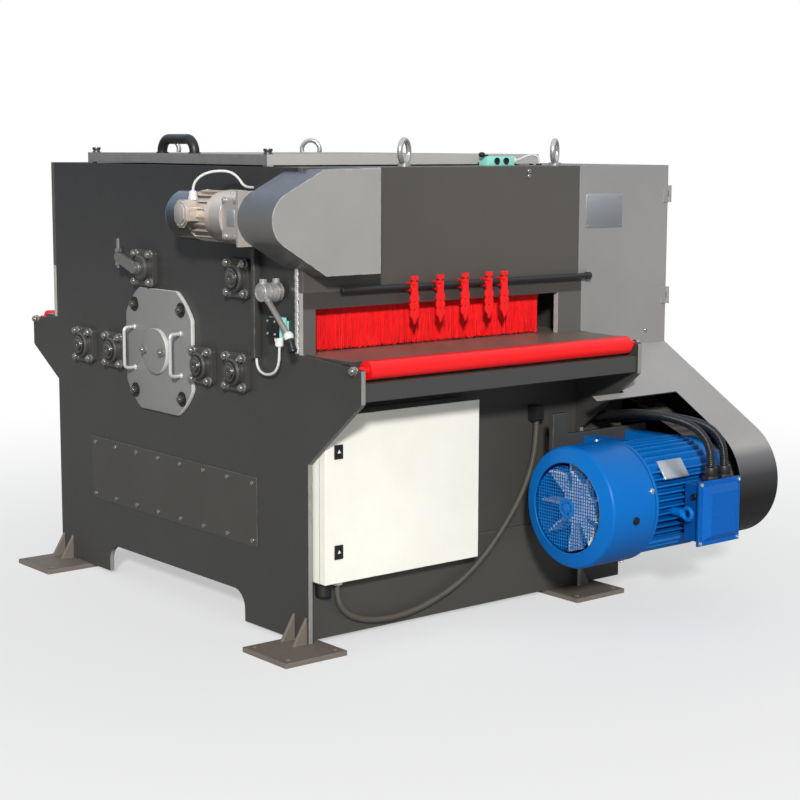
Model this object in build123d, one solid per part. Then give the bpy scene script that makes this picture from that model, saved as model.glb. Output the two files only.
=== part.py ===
from build123d import *
import os
from math import cos, pi, radians, sin, sqrt, tan

# Board edger: boards are fed through a throat between two thick side plates, over driven rollers and under
# sprung pressure rollers, past a row of circular saw blades. All sizes are in millimetres.
# The model is laid out from three faces: X from the outer face of the left side plate, Y from the front
# edge of the plates' feet, in the feed direction, and Z from the floor. It is moved at the end, so that the
# origin is under the middle of the whole machine.

# Clearances
running_gap = 0.05
sliding_gap = 0.3
panel_gap = 2
shaft_hole_gap = 8

# Side plates
frame_width = 1135
frame_depth = 1505
frame_height = 1420
plate_thickness = 15
table_height = 877
ear_front = 254
ear_rear = 181
ear_height = 97
ear_drop = 17
front_slope_foot = 557
rear_slope_foot = 653
upper_front = 42
arch_front = 335
arch_rear = 1165
arch_height = 95
arch_radius = 58
ear_corner_radius = 8

# Feet
foot_size = 220
foot_thickness = 15
left_foot_reach = 168
right_foot_reach = 87
front_foot_reach = 119
rear_foot_reach = 17
foot_hole_radius = 9
foot_hole_inset = 25
gusset_thickness = 10
gusset_height = 80
gusset_length = 48
gusset_inset = 8
gusset_pitch = 62

# Base panels, beams and the riveted side cover
sheet = 4
base_panel_recess = 22
base_panel_low = 17
base_panel_seam = 253
extension_width = 204
beam_size = 80
beam_wall = 6
front_beam_y = 190
rear_beam_y = 1330
high_beam_z = 600
low_beam_z = 130
side_cover_front = 261
side_cover_length = 1009
side_cover_low = 261
side_cover_height = 218
side_cover_sheet = 3
rivet_radius = 7
rivet_height = 4
rivet_count = 8
rivet_inset_y = 25
rivet_inset_z = 19

# Throat frames, tables and idler rollers
throat_plate = 20
jamb_left = 46
jamb_right = 106
throat_height = 133
lintel_height = 48
table_thickness = 10
infeed_table_front = 186
outfeed_table_reach = 115
apron_thickness = 8
apron_low = 768
shelf_top = 818
roller_table_gap = 6
idler_radius = 28
idler_inset = 30
idler_drop = 21
idler_end_gap = 25
idler_stub_radius = 11
idler_pin_radius = 8

# Feed rollers and pressure rollers
feed_roller_radius = 82
feed_roller_proud = 3
lower_roller_y = (350, 540, 1082, 1285)
roller_end_gap = 10
roller_shaft_radius = 20
shaft_overhang = 8
pivot_y = (335, 880)
pivot_z = 1085
swing_reach = 218
swing_drop = 120
arm_inset = 40
arm_thickness = 15
arm_end_radius = 40
pressure_pin_radius = 15
groove_count = 18
groove_depth = 4
groove_width = 8

# Flange bearings
flange_size = 118
flange_thickness = 18
flange_corner = 16
hub_radius = 42
hub_length = 20
flange_bolt_pitch = 90

# Stop arm on the rear pivot
stop_arm_reach = 98
stop_arm_rise = 32
stop_arm_width = 34
stop_arm_thickness = 14
stop_screw_radius = 7
stop_screw_low = 35
stop_screw_high = 60

# Saw arbor, blades and arbor cover
arbor_y = 802
arbor_z = 820
arbor_radius = 35
journal_radius = 30
spacer_radius = 48
blade_radius = 150
blade_thickness = 4
blade_teeth = 28
tooth_depth = 11
tooth_shape = ((0, 0), (0.15, 1), (0.4, 0.8))
blade_x = (393, 496, 597, 696, 761)
arbor_end_inset = 10
cover_radius = 229
cover_width = 400
cover_thickness = 15
cover_spigot_radius = 180
spigot_gap = 1
cap_radius = 74
cap_thickness = 16
cover_bolt_pitch = 286
cap_bolt_pitch = 110
cover_handle_spread = 284
cover_handle_length = 135
cover_handle_reach = 42
cover_handle_radius = 5.5
cover_handle_bend = 14

# Hood and lid
hood_sheet = 8
hood_opening_margin_x = 60
hood_opening_margin_y = 50
lid_left = 10
lid_right_inset = 22
lid_front = 212
lid_length = 1067
lid_rest_gap = 4
lid_height = 32
lid_sheet = 4
lid_hinge_x = 1127
lid_hinge_rise = 9
lid_hinge_y = (330, 1160)
lid_hinge_width = 90
lid_handle_x = 40
lid_handle_y = 750
lid_handle_length = 192
lid_handle_rise = 45
lid_handle_radius = 16
lid_handle_bend = 42
lid_handle_foot = 4
knob_inset_x = 20
knob_inset_y = 24
knob_radius = 13
knob_waist_radius = 8
knob_height = 16
buffer_size = 22
eye_x = (425, 1060)
eye_front_y = 80
eye_rear_y = 1425
eye_ring_radius = 35
eye_wire_radius = 8.5
eye_collar_radius = 20
eye_collar_height = 10
eye_turns = (28, 34, -42, -50)

# Pointer rail and pointers
rail_radius = 9
rail_y = 5
rail_z = 1061
rail_left = 130
rail_right = 1155
rail_post_x = (150, 1098)
rail_post_width = 14
pointer_top = 33
pointer_tip = 116
pointer_sheet = 6
pointer_hub_width = 22
pointer_hub_height = 28
pointer_back_gap = 3
pointer_head_width = 26
pointer_head_height = 14
pointer_head_corner = 4
pointer_neck_width = 8
pointer_neck_height = 5
pointer_stem_width = 24
pointer_notch_drop = 12
pointer_notch_height = 9
pointer_lobes = 3
pointer_lobe_width = 34
pointer_lobe_height = 28
pointer_lobe_corner = 11
pointer_lobe_step = 23
pointer_arrow_height = 34
pointer_arrow_inset = 2
pointer_hole_radius = 3

# Brush curtain
brush_setback = 28
brush_right_gap = 45
brush_end_gap = 2
brush_back_height = 18
strands_per_row = 190
strand_width = 3.2
strand_depth = 3
strand_row_gap = 1.6
strand_tip_gap = 5
strand_tip_spread = 2
strand_tip_wave = 2.4
strand_lean = 0.4
strand_lean_wave = 1.7

# Kickback lever
kick_y = 126
kick_z = 1058
kick_radius = 12
finger_count = 22
finger_thickness = 12
finger_boss_radius = 20
finger_reach_y = 64
finger_tip_gap = 8
finger_tip_width = 16
finger_inset = 75
lever_hub_radius = 28
lever_hub_chamfer = 2
lever_hub_inner = 12
lever_hub_outer = 78
lever_x = -67
lever_ball_y = 0
lever_ball_z = 940
lever_grip_y = -22
lever_grip_z = 896
lever_rod_radius = 8
lever_ball_radius = 14
lever_grip_radius = 11
lever_grip_flat = 2

# Feed drive
drive_x = -81
drive_z = 1273
driven_x = 76
drive_cover_front = -61
drive_cover_back = 112
drive_nose_radius = 84
drive_cover_right = 223
drive_cover_low = 1111
drive_top_corner = (14, 1415)
drive_bottom_corner = (24, 1111)
drive_cover_sheet = 3
bracket_thickness = 12
bracket_height = 160
reducer_size = 140
reducer_back = 212
reducer_flange_radius = 80
reducer_flange_back = 268
feed_motor_radius = 68
feed_motor_front = 300
feed_fan_front = 394
feed_fan_radius = 78
feed_motor_back = 520
feed_fin_height = 9
feed_fin_count = 20
feed_terminal_left = -185
feed_terminal_y = (344, 416)
feed_terminal_height = 82
feed_terminal_rise = 8
feed_terminal_corner = 20
drive_sprocket_radius = 42
driven_sprocket_radius = 104
sprocket_width = 10
drive_chain_y = -25
chain_thickness = 8
chain_width = 12
drive_shaft_radius = 16
drive_shaft_depth = 60
angle_gearbox_size = 120
angle_gearbox_y = 150
angle_shaft_radius = 18
angle_shaft_depth = 35
feed_chain_x = 1192
roller_chain_x = 1214
feed_sprocket_radius = 60

# Belt housing, door and belt guard
housing_width = 410
housing_back = 1420
housing_low = 690
housing_front_low = 816
door_front = 34
door_length = 966
door_low = 842
door_height = 558
door_frame = 45
door_hinge_z = (1294, 947)
door_hinge_height = 57
hinge_pin_radius = 3
hinge_knuckle_radius = 6
hinge_leaf_width = 24
guard_left = 1360
guard_nose_y = -295
guard_nose_z = 398
guard_nose_radius = 195
guard_back = 820
guard_sheet = 4
wide_sheet_front = 204
wide_sheet_tip_x = 989
wide_sheet_tongue = 22

# Main motor
motor_y = -317
motor_z = 383
fan_cover_left = 749
fan_cover_length = 199
fan_cover_radius = 190
fan_cover_round = 26
fan_cover_sheet = 4
grille_radius = 158
grille_hub_radius = 62
grille_pitch = 17
grille_hole = 13
motor_core_radius = 150
motor_fin_radius = 178
motor_fin_pitch = 21
motor_fin_sheet = 5
motor_fin_span = 130
motor_body_end = 1250
motor_shield_end = 1330
motor_shield_radius = 166
motor_flange_thickness = 10
motor_axis_height = 180
motor_foot_x = (1000, 1190)
motor_foot_length = 60
motor_foot_spread = 139
motor_foot_width = 70
motor_plate_thickness = 18
motor_plate_right = 1290
motor_plate_low = 190
motor_plate_high = 572
motor_plate_gap = 4
tension_bracket_left = 862
tension_bracket_width = 65
tension_bracket_low = 523
tension_bracket_top = 642
motor_arm_x = (1000, 1215)
motor_arm_width = 50
motor_arm_z = (240, 480)
motor_arm_height = 60
motor_shaft_radius = 24
fan_radius = 148
fan_blades = 9
fan_blade_sheet = 6
fan_hub_radius = 52
fan_left = 785
fan_width = 70
motor_pulley_radius = 110
arbor_pulley_radius = 100
pulley_left = 1386
belt_count = 5
belt_pitch = 22
belt_width = 15
belt_depth = 11
groove_side_gap = 0.5
terminal_left = 1070
terminal_width = 192
terminal_low = 260
terminal_height = 202
terminal_front = -590
terminal_lid_depth = 30
terminal_flange = 8
terminal_flange_width = 15
terminal_lid_bevel = 20
terminal_back = -500
terminal_margin = 12
motor_pad_margin = 30
motor_eye_x = 1052
motor_eye_drop = 21
motor_eye_rise = 26
motor_eye_ring_radius = 17.5
motor_eye_wire_radius = 7
motor_eye_collar_radius = 14

# Control cabinet
cabinet_left = 20
cabinet_width = 600
cabinet_low = 202
cabinet_height = 500
cabinet_sheet = 2
cabinet_front = -25
cabinet_back = 145
cabinet_step = 10
cabinet_door_front = -55
cabinet_door_gap = 3
cabinet_hinge_inset = 7
cabinet_hinge_depth = 15
cabinet_hinge_z = (270, 630)
cabinet_pin_length = 20
cabinet_eye_length = 16
lock_inset = 49
lock_z = (596, 296)
lock_radius = 10
lock_face = 30
lock_face_height = 42
lock_cam_length = 28

# Switches, glands and duct
lever_switch_x = (-50, -15)
lever_switch_y = (80, 138)
lever_switch_z = (926, 985)
lever_switch_corner = 5
switch_pad_inset = 12
duct_y = (235, 251)
duct_z = (852, 1180)
duct_depth = 24
lever_gland_radius = 9
lid_gland_radius = 10
grommet_radius = 9
conduit_nut_share = 1.35
elbow_share = 1.6
lid_switch_x = (812, 930)
lid_switch_y = (132, 172)
lid_switch_height = 30
lid_switch_corner = 3
lid_plug_radius = 11
lid_lever_reach = 18
lid_lever_overlap = 12
lid_lever_width = 8
lid_lever_thickness = 5
lid_roller_radius = 8
lid_roller_width = 14
lid_roller_inset = 4
mains_gland_x = 52
mains_gland_radius = 23
mains_gland_bore = 16
mains_gland_length = 48

# Cords
cabinet_conduit_radius = 10.5
motor_conduit_radius = 13.5
cable_radius = 4
conduit_rib_share = 0.86
conduit_bore_share = 0.7
conduit_ribs = 190
bend_share = 0.45
cabinet_route = (
    (104, -2, 186), (104, -2, 140), (128, -2, 97), (176, -2, 66), (250, -2, 48), (350, -2, 44),
    (470, -2, 66), (592, -2, 112), (690, -2, 178), (772, -2, 258), (850, -2, 352), (898, -2, 448),
    (917, -2, 540), (917, -2, 600),
)
motor_front_route = (
    (1162, -532, 490), (1162, -532, 546), (1155, -504, 596), (1143, -452, 625), (1131, -380, 636),
    (1124, -295, 638), (1130, -212, 631), (1145, -136, 615), (1160, -68, 600), (1165, -28, 595),
    (1165, 10, 595),
)
motor_rear_route = (
    (1224, -532, 490), (1224, -532, 545), (1220, -503, 592), (1213, -450, 617), (1206, -376, 624),
    (1203, -290, 622), (1204, -208, 612), (1208, -134, 597), (1212, -66, 584), (1213, -28, 580),
    (1213, 10, 580),
)
feed_cable_route = (
    (-147, 372, 1346), (-147, 372, 1366), (-134, 358, 1390), (-110, 340, 1404), (-80, 318, 1408),
    (-56, 301, 1403), (-40, 287, 1386), (-30, 272, 1358), (0, 272, 1358),
)
lever_cable_route = (
    (-32, 96, 902), (-32, 96, 874), (-31, 102, 844), (-28, 124, 820), (-23, 158, 809), (-18, 196, 806),
    (-14, 227, 814), (-12, 243, 834), (-12, 243, 852),
)
lid_cable_route = (
    (944, 152, 1436), (962, 152, 1436), (988, 150, 1447), (1014, 146, 1455), (1036, 141, 1452),
    (1045, 138, 1440), (1045, 138, 1426),
)

# Fasteners
bolt_width = 22
bolt_height = 11
washer_radius = 14
washer_thickness = 3
stud_radius = 7
stud_height = 5
big_washer_radius = 24
panel_screws = ((892, 1404), (892, 1388), (1448, 859))

# Places that follow from the sizes above
right_plate_x = frame_width - plate_thickness
panel_front = upper_front - throat_plate
throat_right = frame_width - jamb_right
throat_top = table_height + throat_height
lintel_top = throat_top + lintel_height
lower_roller_z = table_height + feed_roller_proud - feed_roller_radius
pressure_z = pivot_z - swing_drop
idler_z = table_height - idler_drop
housing_right = frame_width + housing_width
bearing_reach = flange_thickness + hub_length
motor_foot_y = motor_y + motor_axis_height
brush_y = upper_front + brush_setback
cabinet_x = (cabinet_left, cabinet_left + cabinet_width)
cabinet_z = (cabinet_low, cabinet_low + cabinet_height)
cabinet_door_back = cabinet_front - cabinet_door_gap


# Shared shapes
def inset(span, by):
    """A pair of limits taken in at both ends."""
    return span[0] + by, span[1] - by


def around(middle, size):
    """A pair of limits on both sides of a middle."""
    return middle - size / 2, middle + size / 2


def block(x, y, z):
    """A box between three pairs of limits."""
    size = Box(x[1] - x[0], y[1] - y[0], z[1] - z[0])
    return Pos((x[0] + x[1]) / 2, (y[0] + y[1]) / 2, (z[0] + z[1]) / 2) * size


def rod_x(y, z, radius, x0, x1):
    """A round bar along X."""
    return Pos((x0 + x1) / 2, y, z) * Rot(0, 90, 0) * Cylinder(radius, x1 - x0)


def rod_y(x, z, radius, y0, y1):
    """A round bar along Y."""
    return Pos(x, (y0 + y1) / 2, z) * Rot(90, 0, 0) * Cylinder(radius, y1 - y0)


def rod_z(x, y, radius, z0, z1):
    """A round bar along Z."""
    return Pos(x, y, (z0 + z1) / 2) * Cylinder(radius, z1 - z0)


def slab_x(face, x0, x1):
    """A flat outline drawn in Y and Z, thickened along X."""
    return extrude(Plane.YZ.offset(x0) * face, x1 - x0)


def slab_y(face, y0, y1):
    """A flat outline drawn in X and Z, thickened along Y."""
    return extrude(Plane.XZ.offset(-y1) * face, y1 - y0)


def outline(*points):
    """A flat polygon."""
    return make_face(Polyline(*points, close=True))


def solids_of(*shapes):
    """All separate solids of some shapes and lists of shapes."""
    found = []
    for shape in shapes:
        if isinstance(shape, (list, tuple)):
            found += solids_of(*shape)
        else:
            found += shape.solids()
    return found


def belt_loop(first, first_radius, second, second_radius, thickness):
    """A flat ring round two circles, such as a belt or a chain seen from the side."""

    def wrapped(extra):
        circle_one = Pos(*first) * Circle(first_radius + extra)
        circle_two = Pos(*second) * Circle(second_radius + extra)
        return make_hull(circle_one.edges() + circle_two.edges())

    return wrapped(thickness) - wrapped(0)


def hex_bolt_x(x, y, z, direction, washer=washer_radius):
    """A nut on its washer with the stud's end, standing on a face across X."""
    top = washer_thickness + bolt_height
    nut = extrude(RegularPolygon(bolt_width / sqrt(3), 6), top)
    stud = rod_z(0, 0, stud_radius, 0, top + stud_height)
    disc = rod_z(0, 0, washer, 0, washer_thickness)
    return Pos(x, y, z) * Rot(0, 90 * direction, 0) * (disc + nut + stud)


def cap_screw_y(x, z, y, radius, height):
    """A round screw head standing on a face that looks towards the infeed."""
    head = rod_y(x, z, radius, y - height, y)
    return chamfer(head.faces().sort_by(Axis.Y)[0].edges(), height / 4)


# Frame
def side_plate(x0, arbor_hole, cross_shaft):
    """A side plate with its table ears, foot arch and the holes of its shafts."""
    rear = frame_depth
    ear_top = table_height - ear_drop
    profile = outline(
        (0, foot_thickness), (0, front_slope_foot), (-ear_front, ear_top - ear_height),
        (-ear_front, ear_top), (0, table_height), (upper_front, table_height),
        (upper_front, frame_height), (rear, frame_height), (rear, table_height),
        (rear + ear_rear, ear_top), (rear + ear_rear, ear_top - ear_height), (rear, rear_slope_foot),
        (rear, foot_thickness),
    )
    tips = profile.vertices().filter_by(lambda v: v.X < 1 - ear_front or v.X > rear + ear_rear - 1)
    profile = fillet(tips, ear_corner_radius)
    arch_middle = (arch_front + arch_rear) / 2
    arch = Pos(arch_middle, foot_thickness) * Rectangle(arch_rear - arch_front, 2 * arch_height)
    profile -= fillet(arch.vertices(), arch_radius)
    shaft_hole = Circle(roller_shaft_radius + shaft_hole_gap)
    profile -= [Pos(y, lower_roller_z) * shaft_hole for y in lower_roller_y]
    profile -= [Pos(y, pivot_z) * shaft_hole for y in pivot_y]
    profile -= Pos(arbor_y, arbor_z) * Circle(arbor_hole)
    profile -= Pos(kick_y, kick_z) * Circle(kick_radius + running_gap)
    for y in idler_places():
        profile -= Pos(y, idler_z) * Circle(idler_pin_radius + running_gap)
    if cross_shaft:
        profile -= Pos(angle_gearbox_y, drive_z) * Circle(angle_shaft_radius + shaft_hole_gap)
    return slab_x(profile, x0, x0 + plate_thickness)


def idler_places():
    """Where the two idler rollers stand along the feed."""
    return (idler_inset - ear_front, frame_depth + ear_rear - idler_inset)


def foot_places():
    """The lower left corner of each foot plate, with the outer face of its side plate."""
    right = frame_width + right_foot_reach - foot_size
    rear = frame_depth + rear_foot_reach - foot_size
    return (
        (-left_foot_reach, -front_foot_reach, 0, -1), (-left_foot_reach, rear, 0, -1),
        (right, -front_foot_reach, frame_width, 1), (right, rear, frame_width, 1),
    )


def foot_plates():
    """Foot plates with bolt holes, and two triangular gussets on each."""
    pieces = []
    spread = foot_size - 2 * foot_hole_inset
    hole = Cylinder(foot_hole_radius, 3 * foot_thickness)
    for x, y, face, side in foot_places():
        middle = Pos(x + foot_size / 2, y + foot_size / 2, foot_thickness / 2)
        plate = Box(foot_size, foot_size, foot_thickness)
        plate -= [place * hole for place in GridLocations(spread, spread, 2, 2)]
        pieces.append(middle * plate)
        top = foot_thickness + gusset_height
        web = outline((face, foot_thickness), (face + side * gusset_length, foot_thickness), (face, top))
        start = gusset_inset
        if y > 0:
            start = frame_depth - gusset_inset - gusset_pitch - gusset_thickness
        for near in (start, start + gusset_pitch):
            pieces.append(slab_y(web, near, near + gusset_thickness))
    return pieces


def base_panels():
    """Front, rear and extension panels of the base, and the riveted cover on the left plate."""
    inside = (plate_thickness, right_plate_x)
    front = (base_panel_recess, base_panel_recess + sheet)
    rear_face = frame_depth - base_panel_recess
    rear = (rear_face - sheet, rear_face)
    top = shelf_top - panel_gap
    window = block(
        inset(cabinet_x, cabinet_step), inset(front, -sheet), inset(cabinet_z, cabinet_step)
    )
    low_front = block(inside, front, (base_panel_low, base_panel_seam)) - window
    high_front = block(inside, front, (base_panel_seam + panel_gap, top)) - window
    back = block(inside, rear, (base_panel_low, top))
    outer = frame_width + extension_width
    step_front = block((frame_width, outer), front, (base_panel_low, housing_low))
    step_rear = block((frame_width, outer), rear, (base_panel_low, housing_low))
    step_side = block((outer - sheet, outer), (front[1], rear[0]), (base_panel_low, housing_low))
    cover = block(
        (-side_cover_sheet, 0), (side_cover_front, side_cover_front + side_cover_length),
        (side_cover_low, side_cover_low + side_cover_height),
    )
    return [low_front, high_front, back, step_front, step_rear, step_side, cover]


def cross_beams():
    """Square tubes that hold the side plates apart, and the plate that carries the main motor."""
    span = (plate_thickness, right_plate_x)
    pieces = []
    for y in (front_beam_y, rear_beam_y):
        for z in (low_beam_z, high_beam_z):
            tube = block(span, around(y, beam_size), around(z, beam_size))
            inner = beam_size - 2 * beam_wall
            pieces.append(tube - block(span, around(y, inner), around(z, inner)))
    back = motor_foot_y + motor_plate_thickness
    left = fan_cover_left + fan_cover_length + motor_flange_thickness + motor_plate_gap
    depth = (motor_foot_y, back)
    plate = block((left, motor_plate_right), depth, (motor_plate_low, motor_plate_high))
    plate += block((tension_bracket_left, left), depth, (tension_bracket_low, motor_plate_high))
    bracket_right = tension_bracket_left + tension_bracket_width
    plate += block((tension_bracket_left, bracket_right), depth, (tension_bracket_low, tension_bracket_top))
    for x in motor_arm_x:
        for z in motor_arm_z:
            plate += block(around(x, motor_arm_width), (back, base_panel_recess), (z, z + motor_arm_height))
    return pieces + [plate]


def throat_frames():
    """The portals of jambs and lintel at both ends of the feed path."""

    def portal(y):
        whole = block((0, frame_width), y, (table_height, lintel_top))
        return whole - block((jamb_left, throat_right), y, (table_height, throat_top))

    return [portal((panel_front, upper_front)), portal((frame_depth, frame_depth + throat_plate))]


def feed_tables():
    """Infeed and outfeed tables, each bent down behind its idler roller into an apron."""
    inside = (plate_thickness, right_plate_x)
    under = table_height - table_thickness
    shelf_low = shelf_top - apron_thickness

    def table(inner, outer, edge, sign):
        lip = outer - sign * apron_thickness
        rim = edge - sign * apron_thickness
        top = block(inside, sorted((inner, outer)), (under, table_height))
        lip_sheet = block(inside, sorted((lip, outer)), (shelf_low, under))
        shelf = block(inside, sorted((outer, edge)), (shelf_low, shelf_top))
        apron = block(inside, sorted((rim, edge)), (apron_low, shelf_low))
        return top + lip_sheet + shelf + apron

    front_inner = lower_roller_y[0] - feed_roller_radius - roller_table_gap
    rear_inner = lower_roller_y[-1] + feed_roller_radius + roller_table_gap
    infeed = table(front_inner, -infeed_table_front, apron_thickness - ear_front, -1)
    rear_edge = frame_depth + ear_rear - apron_thickness
    outfeed = table(rear_inner, frame_depth + outfeed_table_reach, rear_edge, 1)
    return [infeed, outfeed]


# Hood, lid and lifting eyes
def hood_shell():
    """Front and rear trays above the throats, and the top sheet with its opening under the lid."""

    def tray(y0, y1, opens):
        body = block((0, right_plate_x), (y0, y1), (lintel_top, frame_height))
        inner_y = (y0 + sheet, y1) if opens > 0 else (y0, y1 - sheet)
        body -= block((sheet, right_plate_x - sheet), inner_y, (lintel_top + sheet, frame_height - sheet))
        return body

    front = tray(panel_front, upper_front, 1)
    front -= rod_y(driven_x, drive_z, angle_shaft_radius + shaft_hole_gap, panel_front - sheet, upper_front)
    rear = tray(frame_depth, frame_depth + throat_plate, -1)
    inside = (plate_thickness, right_plate_x)
    top = block(inside, (upper_front, frame_depth), (frame_height - hood_sheet, frame_height))
    top -= block(
        (lid_left + hood_opening_margin_x, right_plate_x - hood_opening_margin_x),
        (lid_front + hood_opening_margin_y, lid_front + lid_length - hood_opening_margin_y),
        (frame_height - 2 * hood_sheet, frame_height + hood_sheet),
    )
    return [front, rear, top]


def lid_limits():
    """The lid's limits along X, Y and Z."""
    low = frame_height + lid_rest_gap
    x = (lid_left, frame_width - lid_right_inset)
    y = (lid_front, lid_front + lid_length)
    return x, y, (low, low + lid_height)


def top_lid():
    """The lid: a folded tray with hinge knuckles on its right edge, rubber buffers and two knob screws."""
    x, y, z = lid_limits()
    tray = block(x, y, z)
    tray -= block(inset(x, lid_sheet), inset(y, lid_sheet), (z[0], z[1] - lid_sheet))
    axis_z = frame_height + lid_hinge_rise
    for start in lid_hinge_y:
        third = lid_hinge_width / 3
        span = (start + third + sliding_gap, start + 2 * third - sliding_gap)
        tab = block((x[1] - lid_sheet, lid_hinge_x), span, around(axis_z, lid_sheet))
        knuckle = rod_y(lid_hinge_x, axis_z, hinge_knuckle_radius, *span)
        bore = rod_y(lid_hinge_x, axis_z, hinge_pin_radius + running_gap, *span)
        tray += tab + knuckle
        tray -= bore
    buffers = []
    for edge_x in (x[0], x[1] - buffer_size):
        for edge_y in (y[0], y[1] - buffer_size):
            buffers.append(block(
                (edge_x, edge_x + buffer_size), (edge_y, edge_y + buffer_size),
                (frame_height + sliding_gap, z[0]),
            ))
    knobs = []
    for knob_y in (y[0] + knob_inset_y, y[1] - knob_inset_y):
        profile = Polyline(
            (0, 0), (knob_radius, 0), (knob_waist_radius, knob_height / 2), (knob_radius, knob_height),
            (0, knob_height), close=True,
        )
        knob = revolve(Plane.XZ * make_face(profile), Axis.Z)
        knobs.append(Pos(x[0] + knob_inset_x, knob_y, z[1]) * knob)
    return [tray] + buffers + knobs


def lid_hinge_halves():
    """The fixed hinge leaves on the right plate's top edge, with their pins."""
    axis_z = frame_height + lid_hinge_rise
    pieces = []
    for start in lid_hinge_y:
        third = lid_hinge_width / 3
        leaf = rod_y(lid_hinge_x, axis_z, hinge_pin_radius, start, start + lid_hinge_width)
        for low in (start, start + 2 * third):
            span = (low, low + third)
            leaf += block(around(lid_hinge_x, 2 * hinge_knuckle_radius), span, (frame_height, axis_z))
            leaf += rod_y(lid_hinge_x, axis_z, hinge_knuckle_radius, *span)
        pieces.append(leaf)
    return pieces


def bow_handle(start, end, reach, radius, bend):
    """A round bar bent into a bow between two feet, standing out along a direction."""
    first, last, out = Vector(*start), Vector(*end), Vector(*reach)
    path = FilletPolyline(first, first + out, last + out, last, radius=bend)
    return sweep(Plane(origin=first, z_dir=out) * Circle(radius), path=path)


def lid_handle():
    """The black bridge handle on the lid's left side, with its two round feet."""
    top = lid_limits()[2][1]
    feet = around(lid_handle_y, lid_handle_length)
    start = (lid_handle_x, feet[0], top)
    end = (lid_handle_x, feet[1], top)
    bar = bow_handle(start, end, (0, 0, lid_handle_rise), lid_handle_radius, lid_handle_bend)
    for y in feet:
        bar += rod_z(lid_handle_x, y, lid_handle_radius + lid_handle_foot, top, top + lid_handle_foot)
    return bar


def eye_places():
    """Where the four lifting eyes stand, each with its turn about the vertical."""
    places = [(x, y) for y in (eye_front_y, eye_rear_y) for x in eye_x]
    return [(*place, turn) for place, turn in zip(places, eye_turns)]


def eye_bolts():
    """Lifting eyes on the hood's top, a ring on a collar each."""
    ring_z = eye_collar_height + eye_ring_radius
    eye = Pos(0, 0, eye_collar_height / 2) * Cylinder(eye_collar_radius, eye_collar_height)
    eye += Pos(0, 0, ring_z) * Rot(90, 0, 0) * Torus(eye_ring_radius, eye_wire_radius)
    return [Pos(x, y, frame_height) * Rot(0, 0, turn) * eye for x, y, turn in eye_places()]


# Pointers
def pointer_rail():
    """The round rail across the front with the two posts that hold it."""
    rail = rod_x(rail_y, rail_z, rail_radius, rail_left, rail_right)
    for x in rail_post_x:
        rail += block(around(x, rail_post_width), (rail_y, panel_front), around(rail_z, rail_post_width))
    return rail


def pointer(x):
    """A sliding blade pointer: a flat plate with a head, a notch and a scalloped arrow, on its hub."""
    top = rail_z + pointer_top
    tip = rail_z - pointer_tip
    neck = top - pointer_head_height
    stem_top = neck - pointer_neck_height
    first_lobe = tip + pointer_arrow_height
    stem_low = first_lobe + (pointer_lobes - 1) * pointer_lobe_step
    head = RectangleRounded(pointer_head_width, pointer_head_height, pointer_head_corner)
    plate = Pos(0, top - pointer_head_height / 2) * head
    plate += Pos(0, neck) * Rectangle(pointer_neck_width, 3 * pointer_neck_height)
    plate += Pos(0, (stem_top + stem_low) / 2) * Rectangle(pointer_stem_width, stem_top - stem_low)
    lobe = RectangleRounded(pointer_lobe_width, pointer_lobe_height, pointer_lobe_corner)
    for step in range(pointer_lobes):
        plate += Pos(0, first_lobe + step * pointer_lobe_step) * lobe
    half = pointer_lobe_width / 2 - pointer_arrow_inset
    plate += outline((-half, first_lobe), (half, first_lobe), (0, tip))
    notch = Rectangle(pointer_stem_width, pointer_notch_height)
    plate -= Pos(-pointer_stem_width / 2, stem_top - pointer_notch_drop) * notch
    for step in range(pointer_lobes - 1):
        plate -= Pos(0, first_lobe + (step + 0.5) * pointer_lobe_step) * Circle(pointer_hole_radius)
    back = rail_y - rail_radius - pointer_back_gap
    body = slab_y(plate, back - pointer_sheet, back)
    hub_depth = (back, panel_front - pointer_back_gap)
    body += block(around(0, pointer_hub_width), hub_depth, around(rail_z, pointer_hub_height))
    body -= rod_x(rail_y, rail_z, rail_radius + running_gap, *around(0, 2 * pointer_hub_width))
    return Pos(x, 0, 0) * body


# Brush curtain
def infeed_brush():
    """A brush strip behind the lintel: two staggered rows of strands fused to their backing."""
    left = jamb_left + brush_end_gap
    right = throat_right - brush_right_gap
    root = throat_top
    top = root + brush_back_height
    pitch = (right - left) / (strands_per_row + 1)
    rows = []
    depth = 2 * strand_depth + strand_row_gap
    for row in range(2):
        points = [(left, top)]
        for number in range(strands_per_row):
            x = left + (number + (row + 1) / 3) * pitch
            wave = sin(strand_tip_wave * number + row)
            tip = table_height + strand_tip_gap + strand_tip_spread * wave
            lean = strand_lean * sin(strand_lean_wave * number + row)
            points += [(x, root), (x + lean, tip), (x + strand_width + lean, tip), (x + strand_width, root)]
        points.append((right, top))
        y = brush_y + row * (strand_depth + strand_row_gap)
        rows.append(slab_y(outline(*points), y, y + strand_depth))
    backing = block((left, right), (upper_front, brush_y + depth + strand_depth), (root, top))
    return backing + rows


# Shafts, rollers and bearings
def flange_bearing(x, y, z, direction, bore):
    """A square flange bearing standing on a plate's outer face."""
    plate = fillet(Rectangle(flange_size, flange_size).vertices(), flange_corner)
    body = extrude(plate, flange_thickness)
    hub = Pos(0, 0, bearing_reach / 2) * Cylinder(hub_radius, bearing_reach)
    body += chamfer(hub.faces().sort_by(Axis.Z)[-1].edges(), hub_length / 4)
    body -= Cylinder(bore + running_gap, 4 * bearing_reach)
    return Pos(x, y, z) * Rot(0, 90 * direction, 0) * body


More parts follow.
